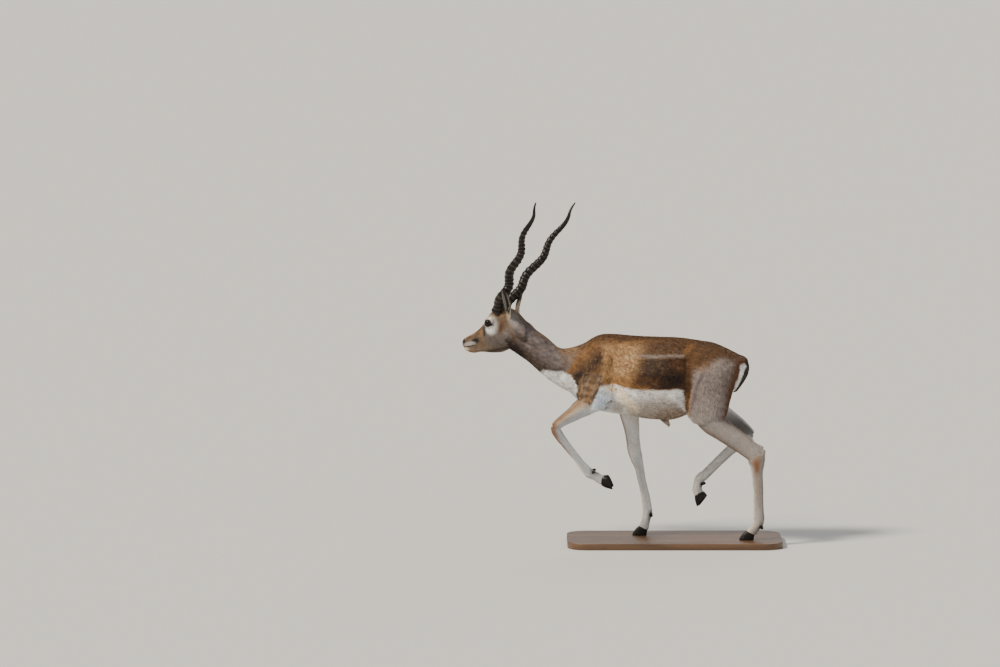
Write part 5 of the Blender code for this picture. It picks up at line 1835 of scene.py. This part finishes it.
def ranged(tree, value, low, high, newLow, newHigh):
    node = addNode(tree, "ShaderNodeMapRange")
    for socket, number in zip(("From Min", "From Max", "To Min", "To Max"), (low, high, newLow, newHigh)):
        node.inputs[socket].default_value = number
    tree.links.new(value, node.inputs["Value"])
    return node.outputs["Result"]


def mixed(tree, kind, factor, first, second, blend="MIX"):
    node = addNode(tree, "ShaderNodeMix", data_type=kind)
    if kind == "RGBA":
        node.blend_type = blend
    spots = {"FLOAT": (2, 3, 0), "RGBA": (6, 7, 2)}[kind]
    for socket, value in ((0, factor), (spots[0], first), (spots[1], second)):
        if hasattr(value, "is_output"):
            tree.links.new(value, node.inputs[socket])
        else:
            node.inputs[socket].default_value = value
    return node.outputs[spots[2]]


def scaledColour(tree, colour, factor):
    node = addNode(tree, "ShaderNodeVectorMath", operation="SCALE")
    tree.links.new(colour, node.inputs[0])
    tree.links.new(factor, node.inputs["Scale"])
    return node.outputs["Vector"]


def addBump(tree, shader, height, strength, distance):
    bump = addNode(tree, "ShaderNodeBump")
    bump.inputs["Strength"].default_value = strength
    bump.inputs["Distance"].default_value = distance
    tree.links.new(height, bump.inputs["Height"])
    tree.links.new(bump.outputs["Normal"], shader.inputs["Normal"])
    return bump


def multiplied(tree, first, second):
    node = addNode(tree, "ShaderNodeMath", operation="MULTIPLY")
    tree.links.new(first, node.inputs[0])
    tree.links.new(second, node.inputs[1])
    return node.outputs[0]


# noise sizes along x, y and z, for hair that lies along the body and hair that hangs down the legs
furMake = {"body": (40.0, 330.0, 330.0), "legs": (330.0, 330.0, 45.0), "strength": 0.55, "depth": 0.0012}


def skinMaterial():
    material, tree, shader = newMaterial("shortCoat", 0.75, specular=0.18, sheen=0.05)
    colour = readAttribute(tree, "coat").outputs["Color"]
    upright = readAttribute(tree, "upright").outputs["Fac"]
    bare = readAttribute(tree, "bare").outputs["Fac"]
    lying, hanging = noiseOf(tree, furMake["body"], 1.0), noiseOf(tree, furMake["legs"], 1.0)
    hairs = mixed(tree, "FLOAT", upright, lying, hanging)
    pores = noiseOf(tree, (1.0, 1.0, 1.0), 1500.0, 2.0)
    height = mixed(tree, "FLOAT", bare, hairs, ranged(tree, pores, 0.3, 0.7, 0.45, 0.55))
    clumps = noiseOf(tree, (1.0, 1.0, 1.0), 55.0, 3.0)
    hairShade = ranged(tree, hairs, 0.25, 0.75, 0.72, 1.28)
    shade = multiplied(tree, hairShade, ranged(tree, clumps, 0.3, 0.7, 0.88, 1.12))
    tree.links.new(scaledColour(tree, colour, shade), shader.inputs["Base Color"])
    tree.links.new(ranged(tree, bare, 0.0, 1.0, 0.72, 0.42), shader.inputs["Roughness"])
    addBump(tree, shader, height, furMake["strength"], furMake["depth"])
    return material


def coatMaterial():
    material, tree, shader = newMaterial("coatTufts", 0.6, specular=0.22, sheen=0.04)
    colour = readAttribute(tree, "coat")
    strands = noiseOf(tree, (1.0, 1.0, 1.0), 900.0, 2.0)
    shade = ranged(tree, strands, 0.3, 0.7, 0.86, 1.14)
    tree.links.new(scaledColour(tree, colour.outputs["Color"], shade), shader.inputs["Base Color"])
    return material


eyeColours = {
    "white": (0.04, 0.026, 0.018),
    "iris": (0.01, 0.005, 0.0025),
    "irisEdge": (0.004, 0.002, 0.0015),
    "pupil": (0.001, 0.001, 0.0012),
    "irisRadius": 0.0118,
    "irisSoft": 0.0006,
    "pupilHalf": (0.0062, 0.0034),
    "gap": 0.0003,
    "corneaRise": 0.0007,
    "corneaEdges": (0.006, 0.0125),
}


def eyeMaterial():
    material, tree, shader = newMaterial("eyeGloss", 0.05, specular=0.16, coatGloss=0.1)
    colour = readAttribute(tree, "coat")
    flecks = noiseOf(tree, (1.0, 1.0, 1.0), 1200.0, 3.0)
    shade = ranged(tree, flecks, 0.3, 0.7, 0.7, 1.3)
    tree.links.new(scaledColour(tree, colour.outputs["Color"], shade), shader.inputs["Base Color"])
    addBump(tree, shader, flecks, 0.02, 0.0003)
    return material


def makeEye(side, word, material):
    # a ball with a slightly raised cornea, its iris and pupil told by its own colours
    thing = makeBall("eyeball" + word, 96, 64, eyeMake["radius"] - eyeColours["gap"])
    along, up, outwards = eyeAxes(side)
    turn = Matrix([[along[row], up[row], outwards[row]] for row in range(3)]).to_4x4()
    points = readPoints(thing.data)
    away = np.hypot(points[:, 0], points[:, 1])
    front = points[:, 2] > 0
    iris, soft = eyeColours["irisRadius"], eyeColours["irisSoft"]
    wide, high = eyeColours["pupilHalf"]
    slot = np.sqrt((points[:, 0] / wide) ** 2 + (points[:, 1] / high) ** 2)
    colour = np.tile(np.array(eyeColours["white"]), (len(points), 1))
    blendTo(colour, eyeColours["irisEdge"], fade(away, iris - soft, iris + soft) * front)
    blendTo(colour, eyeColours["iris"], fade(away, iris * 0.6, iris * 0.95) * front)
    blendTo(colour, eyeColours["pupil"], fade(slot, 0.85, 1.1) * front)
    lift = eyeColours["corneaRise"] * fade(away, *eyeColours["corneaEdges"]) * front
    points *= 1.0 + lift[:, None] / eyeMake["radius"]
    writePoints(thing.data, points)
    thing.data.transform(headFrame @ Matrix.Translation(mirrored(eyeMake["place"], side)) @ turn)
    outward(thing)
    storeColour(thing.data, colour)
    smoothShade(thing)
    thing.data.materials.clear()
    thing.data.materials.append(material)
    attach(thing, "root")
    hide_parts("eye_" + word.lower())
    return thing


# lengths in metres; places along the horn are shares of its length
hornMake = {
    "foot": (0.071, 0.027, 0.052),
    "tips": {-1: (-0.16, 0.2, 0.495), 1: (-0.161, 0.2, 0.479)},
    "radius": 0.0178,
    "taper": 2.2,
    "flare": (0.0038, 0.09),
    "tip": 0.0026,
    "tipRound": (0.985, 0.015),
    "ringPitch": 0.0353,
    "firstRing": 0.0118,
    "ringTilt": 0.16,
    "ringWidth": 0.48,
    "turns": 3.4,
    "turnRise": 0.8,
    "phase": 0.976,
    "swing": 0.0085,
    "swingEnds": (0.15, 0.12),
    "bow": 0.008,
    "ringDepth": 0.0027,
    "ringUneven": (0.75, 1.15),
    "ringShift": 0.07,
    "ringsEnd": 0.8,
    "grooveDepth": 0.0005,
    "ridge": (0.00018, 13.0),
    "groove": (0.0035, 0.0028, 0.0024),
    # crest: a painted highlight laid on each ring's crest
    "crest": (0.06, 0.042, 0.027),
    "tipColour": (0.012, 0.009, 0.007),
    "smoothFrom": (0.74, 0.86),
}


def hornMaterial():
    material, tree, shader = newMaterial("hornRidges", 0.38, specular=0.25)
    colour = readAttribute(tree, "coat").outputs["Color"]
    grain = noiseOf(tree, (420.0, 420.0, 60.0), 1.0, 4.0)
    blotch = noiseOf(tree, (1.0, 1.0, 1.0), 120.0, 3.0)
    grainShade = ranged(tree, grain, 0.25, 0.75, 0.65, 1.35)
    shade = multiplied(tree, grainShade, ranged(tree, blotch, 0.3, 0.7, 0.75, 1.25))
    tree.links.new(scaledColour(tree, colour, shade), shader.inputs["Base Color"])
    tree.links.new(ranged(tree, grain, 0.3, 0.7, 0.46, 0.3), shader.inputs["Roughness"])
    addBump(tree, shader, grain, 0.5, 0.0006)
    return material


def hornPath(side, levels, out, back):
    # the middle line, winding like a corkscrew round the straight line from foot to tip
    foot = mirrored(hornMake["foot"], side)
    tip = mirrored(hornMake["tips"][side], side)
    rising, falling = hornMake["swingEnds"]
    centres = []
    for level in range(levels + 1):
        part = level / levels
        turn = math.tau * (hornMake["turns"] * part ** hornMake["turnRise"] - hornMake["phase"])
        reach = hornMake["swing"] * min(1.0, part / rising) * min(1.0, (1.0 - part) / falling)
        middle = foot.lerp(tip, part) + (back + out) * (hornMake["bow"] * math.sin(math.pi * part))
        centres.append(middle + back * (reach * math.cos(turn)) - out * (reach * math.sin(turn)))
    return centres


def hornSize(part):
    flare, fading = hornMake["flare"]
    roundFrom, roundLength = hornMake["tipRound"]
    size = hornMake["radius"] * (1.0 - part ** hornMake["taper"]) + hornMake["tip"] * part
    size += flare * math.exp(-part / fading)
    return size * math.sqrt(1.0 - 0.97 * max(0.0, (part - roundFrom) / roundLength) ** 2)


def makeHorn(side, word, material):
    out = Vector((0.0, float(side), 0.0))
    back = Vector((-1.0, 0.0, 0.0))
    levels, around = ((400, 44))
    centres = hornPath(side, levels, out, back)
    draw = np.random.default_rng(7 + side)
    count = int(hornMake["ringsEnd"] / hornMake["ringPitch"]) + 3
    offset = draw.normal(0.0, hornMake["ringShift"], count + 1)
    strength = draw.uniform(*hornMake["ringUneven"], count + 1)
    ridgeRise, ridgeCount = hornMake["ridge"]
    rings, marks = [], []
    for level, centre in enumerate(centres):
        part = level / levels
        along = (centres[min(level + 1, levels)] - centres[max(level - 1, 0)]).normalized()
        across = (out - along * out.dot(along)).normalized()
        fore = along.cross(across)
        size = hornSize(part)
        ringed = smoothStep(hornMake["ringsEnd"] + 0.03 - part, 0.0, 0.1)
        ring = []
        for step in range(around):
            angle = math.tau * step / around
            # the rings tilt a little and swell towards the front of the horn
            place = (part - hornMake["firstRing"]) / hornMake["ringPitch"]
            place += hornMake["ringTilt"] * math.sin(angle + 0.5)
            number = min(count, max(0, int(round(place))))
            place += offset[number]
            near = abs(place - round(place)) * 2.0
            crest = math.exp(-((near / hornMake["ringWidth"]) ** 2))
            amount = hornMake["ringDepth"] * (1.0 - 0.45 * part) * strength[number]
            amount *= 0.85 - 0.25 * math.sin(angle)
            groove = hornMake["grooveDepth"] * max(0.0, near - 0.55)
            ridge = ridgeRise * math.sin(angle * ridgeCount + 3.0 * part * math.tau) * (1.0 - 0.7 * part)
            total = size + (crest * amount - groove - 0.35 * amount) * ringed + ridge
            ring.append(headFrame @ (centre + (across * math.cos(angle) + fore * math.sin(angle)) * total))
            marks.append((crest * ringed, part))
        rings.append(ring)
    thing = loft("horn" + word, rings)
    crest, part = np.array(marks).T
    colour = np.tile(np.array(hornMake["groove"]), (len(marks), 1))
    # painted highlight: the ring crests are paler than the grooves
    blendTo(colour, hornMake["crest"], crest**7)
    blendTo(colour, hornMake["tipColour"], smoothStep(part, *hornMake["smoothFrom"]))
    storeColour(thing.data, colour)
    smoothShade(thing)
    thing.data.materials.append(material)
    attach(thing, "root")
    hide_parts("horn_" + word.lower())
    return thing


# each foot: middle of the coronet, how far the toe dips, and the way to its right side
hoofMake = {
    "feet": {
        "HindLeft": ((0.296, -0.07, 0.0285), 0.0, (0.0, 1.0, 0.0)),
        "HindRight": ((0.1, 0.063, 0.1655), 50.0, (0.36, 0.93, 0.0)),
        "ForeLeft": ((-0.284, -0.07, 0.2345), 109.0, (0.22, 0.9, 0.38)),
        "ForeRight": ((-0.1185, 0.06, 0.0285), 0.0, (0.0, 1.0, 0.0)),
    },
    "tilt": 0.5,
    "top": 0.0145,
    "front": 0.046,
    "back": 0.011,
    "half": 0.0092,
    "height": 0.0285,
    "spread": 0.0101,
    "growth": (0.00022, 34.0),
    "worn": 0.0016,
    "rim": (0.0005, 0.07),
    "drop": 0.0003,
    "sole": [(0.88, 0.0), (0.8, 0.0012), (0.35, 0.0018)],
    "dark": (0.004, 0.003, 0.003, 1),
    "pale": (0.013, 0.01, 0.008, 1),
    "dust": (0.04, 0.028, 0.018, 1),
}


def footAxes(foot):
    # middle of a coronet, and the ways to the toe, to the right side and down through the sole
    middle, pitch, right = hoofMake["feet"][foot]
    dip = math.radians(pitch)
    right = Vector(right).normalized()
    toe = Vector((-math.cos(dip), 0.0, -math.sin(dip)))
    toe = (toe - right * toe.dot(right)).normalized()
    return Vector(middle) + upWay * groundLevel, toe, right, toe.cross(right)


def innerOrOuter(foot, side):
    return "Outer" if (side < 0) == ("Left" in foot) else "Inner"


def nodeName(kind, foot, word):
    # such as claw_hind_left_outer
    return "_".join((kind, foot[:4], foot[4:], word)).lower()


def hoofMaterial():
    material, tree, shader = newMaterial("hoofHorn", 0.42, specular=0.22)
    grain = noiseOf(tree, (260.0, 260.0, 40.0), 1.0, 4.0)
    bands = noiseOf(tree, (1.0, 1.0, 480.0), 1.0, 2.0)
    dust = noiseOf(tree, (1.0, 1.0, 1.0), 160.0, 4.0)
    streaks = ranged(tree, grain, 0.35, 0.7, 0.0, 1.0)
    colour = mixed(tree, "RGBA", streaks, hoofMake["dark"], hoofMake["pale"])
    colour = mixed(tree, "RGBA", ranged(tree, dust, 0.55, 0.75, 0.0, 0.5), colour, hoofMake["dust"])
    tree.links.new(colour, shader.inputs["Base Color"])
    tree.links.new(ranged(tree, dust, 0.4, 0.7, 0.36, 0.6), shader.inputs["Roughness"])
    height = mixed(tree, "FLOAT", 0.5, grain, bands)
    addBump(tree, shader, height, 0.45, 0.0008)
    return material


def makeClaw(foot, side, material):
    middle, toe, right, down = footAxes(foot)
    levels, around = ((26, 48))
    growthRise, growthCount = hoofMake["growth"]
    rimRise, rimLength = hoofMake["rim"]
    rings = []
    for level in range(levels + 1):
        part = level / levels
        front = hoofMake["top"] + (hoofMake["front"] - hoofMake["top"]) * part**0.9
        back = (hoofMake["top"] - hoofMake["back"]) * part - hoofMake["top"]
        half = hoofMake["half"] * (0.94 + 0.06 * part)
        # growth rings round the wall, and an edge worn round at the sole
        growth = growthRise * math.sin(part * growthCount) * (1.0 - part)
        worn = hoofMake["worn"] * max(0.0, (part - 0.9) / 0.1) ** 2
        front += growth - worn * 1.2
        half += growth * 0.6 - worn * 0.8
        back -= growth - worn
        rim = rimRise * bell(part, 0.0, rimLength)
        ring = []
        for step in range(around):
            turn = math.tau * step / around
            reach = (front + back) / 2 + ((front - back) / 2 + rim) * math.cos(turn)
            narrow = 1.0 - 0.38 * max(0.0, math.cos(turn)) ** 2
            sign = math.copysign(1.0, math.sin(turn))
            flat = 0.93 if sign * side < 0 else 1.0
            spread = (half + rim) * sign * abs(math.sin(turn)) ** 0.8 * narrow * flat
            drop = hoofMake["height"] * part - (1.0 - part) * hoofMake["tilt"] * reach
            centre = middle + toe * reach + right * (side * hoofMake["spread"] + spread)
            ring.append(centre + down * (drop + (1.0 - part) * hoofMake["drop"]))
        rings.append(ring)
    sole = rings[-1]
    heart = sum(sole, Vector()) / len(sole)
    for share, lift in hoofMake["sole"]:
        rings.append([heart + (spot - heart) * share - down * lift for spot in sole])
    word = innerOrOuter(foot, side)
    thing = loft("hoof" + foot + word, rings)
    smoothShade(thing)
    thing.data.materials.append(material)
    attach(thing, "root")
    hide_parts(nodeName("claw", foot, word))
    return thing


# each foot: middle between the two, and how far they lean back
dewclawMake = {
    "places": {
        "HindLeft": ((0.3375, -0.07, 0.051), 35.0),
        "HindRight": ((0.1125, 0.065, 0.203), 80.0),
        "ForeLeft": ((-0.319, -0.07, 0.269), 120.0),
        "ForeRight": ((-0.09, 0.062, 0.081), 30.0),
    },
    "scale": (0.0075, 0.0065, 0.0112),
    "spread": 0.0105,
    "taper": 0.35,
    "flatten": 0.1,
    "growth": (0.03, 16.0),
}


def makeDewclaw(foot, side, material):
    place, pitch = dewclawMake["places"][foot]
    word = innerOrOuter(foot, side)
    thing = makeBall("dewclaw" + foot + word, 28, 18)
    points = readPoints(thing.data)
    low = np.clip(-points[:, 2], 0.0, 1.0)
    growthRise, growthCount = dewclawMake["growth"]
    points[:, :2] *= (1.0 - dewclawMake["taper"] * low)[:, None]
    points[:, 2] *= 1.0 - dewclawMake["flatten"] * low
    points[:, :2] *= (1.0 + growthRise * np.sin(points[:, 2] * growthCount))[:, None]
    writePoints(thing.data, points)
    middle = Vector(place) + upWay * groundLevel + footAxes(foot)[2] * (side * dewclawMake["spread"])
    turn = Matrix.Rotation(math.radians(-pitch), 4, "Y")
    size = Matrix.Diagonal(dewclawMake["scale"]).to_4x4()
    thing.data.transform(Matrix.Translation(middle) @ turn @ size)
    outward(thing)
    smoothShade(thing)
    thing.data.materials.append(material)
    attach(thing, "root")
    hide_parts(nodeName("dewclaw", foot, word))
    return thing


baseMake = {
    "size": (0.84, 0.36, 0.025),
    "corner": 0.075,
    "edge": 0.0038,
    "lowerEdge": 0.0015,
    "dark": (0.06, 0.03, 0.014, 1.0),
    "pale": (0.15, 0.078, 0.036, 1.0),
}


def woodMaterial():
    material, tree, shader = newMaterial("oiledWood", 0.38, specular=0.4, coatGloss=0.15)
    wander = noiseOf(tree, (1.6, 22.0, 22.0), 1.6, 3.0, 0.6)
    pores = noiseOf(tree, (30.0, 900.0, 900.0), 1.0, 2.0)
    streaks = ranged(tree, wander, 0.32, 0.68, 0.0, 1.0)
    grain = mixed(tree, "RGBA", streaks, baseMake["dark"], baseMake["pale"])
    shade = ranged(tree, pores, 0.35, 0.65, 0.8, 1.1)
    tree.links.new(scaledColour(tree, grain, shade), shader.inputs["Base Color"])
    tree.links.new(ranged(tree, pores, 0.3, 0.7, 0.5, 0.34), shader.inputs["Roughness"])
    addBump(tree, shader, pores, 0.25, 0.0004)
    return material


def selectEdges(thing, test):
    # picks edges by their two ends, with everything else left out
    bpy.ops.object.mode_set(mode="EDIT")
    bpy.ops.mesh.select_mode(type="EDGE")
    bpy.ops.mesh.select_all(action="DESELECT")
    bpy.ops.object.mode_set(mode="OBJECT")
    for edge in thing.data.edges:
        ends = [thing.data.vertices[index].co for index in edge.vertices]
        edge.select = bool(test(*ends))
    bpy.ops.object.mode_set(mode="EDIT")


def bevelEdges(thing, test, width, segments, profile):
    selectEdges(thing, test)
    bpy.ops.mesh.bevel(offset=width, segments=segments, profile=profile, affect="EDGES")
    bpy.ops.object.mode_set(mode="OBJECT")


def makeBase():
    length, width, high = baseMake["size"]
    bpy.ops.object.select_all(action="DESELECT")
    bpy.ops.mesh.primitive_cube_add(size=1.0)
    thing = bpy.context.active_object
    thing.name = "woodenBase"
    size = Matrix.Diagonal((length, width, high)).to_4x4()
    thing.data.transform(Matrix.Translation((0.0, 0.0, high / 2)) @ size)
    selectOnly(thing)
    close = 0.0001
    bevelEdges(thing, lambda a, b: abs(a.z - b.z) > high / 2, baseMake["corner"], 24, 0.5)
    bevelEdges(thing, lambda a, b: min(a.z, b.z) > high - close, baseMake["edge"], 5, 0.6)
    bevelEdges(thing, lambda a, b: max(a.z, b.z) < close, baseMake["lowerEdge"], 2, 0.5)
    selectOnly(thing)
    bpy.ops.object.shade_smooth_by_angle(angle=math.radians(35.0))
    thing.data.materials.append(woodMaterial())
    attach(thing, "root")
    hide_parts("stand_base")
    return thing


floorMake = {"radius": 150.0, "height": -0.0002, "colour": (0.62, 0.61, 0.58, 1.0)}


def makeFloor():
    bpy.ops.object.select_all(action="DESELECT")
    place = (0.0, 0.0, floorMake["height"])
    bpy.ops.mesh.primitive_circle_add(
        vertices=96, radius=floorMake["radius"], fill_type="NGON", location=place
    )
    floor = bpy.context.active_object
    floor.name = "floor"
    material, _, shader = newMaterial("paleFloor", 0.85, specular=0.2)
    shader.inputs["Base Color"].default_value = floorMake["colour"]
    floor.data.materials.append(material)


studio = {
    "sun": {"from": (-0.8, -0.42, 0.95), "power": 4.7, "softness": 12.0, "colour": (1.0, 0.91, 0.79)},
    "fill": {"from": (0.6, -1.0, 0.5), "power": 0.42, "softness": 60.0, "colour": (0.9, 0.95, 1.0)},
    "back": {"from": (0.2, 1.0, 0.9), "power": 0.55, "softness": 40.0, "colour": (1.0, 0.97, 0.92)},
    "world": (0.86, 0.88, 0.9, 1.0),
    "worldStrength": 0.48,
}


def aimAt(thing, target):
    way = Vector(target) - thing.location
    thing.rotation_euler = way.to_track_quat("-Z", "Y").to_euler()


def makeLights():
    for name in ("sun", "fill", "back"):
        made = studio[name]
        light = bpy.data.lights.new(name, "SUN")
        light.energy = made["power"]
        light.angle = math.radians(made["softness"])
        light.color = made["colour"]
        thing = bpy.data.objects.new(name, light)
        bpy.context.scene.collection.objects.link(thing)
        thing.location = Vector(made["from"]) * 4.0
        aimAt(thing, (0.0, 0.0, 0.0))
    world = bpy.context.scene.world or bpy.data.worlds.new("studio")
    bpy.context.scene.world = world
    world.use_nodes = True
    shade = world.node_tree.nodes["Background"]
    shade.inputs["Color"].default_value = studio["world"]
    shade.inputs["Strength"].default_value = studio["worldStrength"]


cameraMake = {
    "lens": 200.0,
    "sensor": 36.0,
    "distance": 21.67,
    "elevation": 6.5,
    "target": (-0.6825, 0.0, 0.828),
    "farthest": 200.0,
}


def makeCamera():
    lens = bpy.data.cameras.new("camera")
    lens.lens = cameraMake["lens"]
    lens.sensor_width = cameraMake["sensor"]
    lens.clip_end = cameraMake["farthest"]
    camera = bpy.data.objects.new("camera", lens)
    bpy.context.scene.collection.objects.link(camera)
    tilt = math.radians(cameraMake["elevation"])
    target = Vector(cameraMake["target"])
    camera.location = target + Vector((0.0, -math.cos(tilt), math.sin(tilt))) * cameraMake["distance"]
    aimAt(camera, target)
    bpy.context.scene.camera = camera


animalPrefixes = ("eye_", "horn_", "claw_", "dewclaw_", "stand_")


fleshNodes = [name for name in nodes if not name.startswith(animalPrefixes)]


def makeAnimal():
    skin = makeSkin()
    names, lie, colour, bare = paintSkin(skin)
    skin.data.materials.clear()
    skin.data.materials.append(skinMaterial())
    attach(skin, "root")
    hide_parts(*fleshNodes)
    tuftLook = coatMaterial()
    for piece in growCoat(skin, names, lie, colour, bare):
        piece.data.materials.append(tuftLook)
        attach(piece, "root")
    eyeLook, hornLook, hoofLook = eyeMaterial(), hornMaterial(), hoofMaterial()
    for side, word in ((-1, "Left"), (1, "Right")):
        makeEye(side, word, eyeLook)
        makeHorn(side, word, hornLook)
    for foot in hoofMake["feet"]:
        for side in (-1, 1):
            makeClaw(foot, side, hoofLook)
            makeDewclaw(foot, side, hoofLook)
    report("eyes, horns and hooves made")


makeAnimal()
makeBase()
makeFloor()
makeLights()
makeCamera()
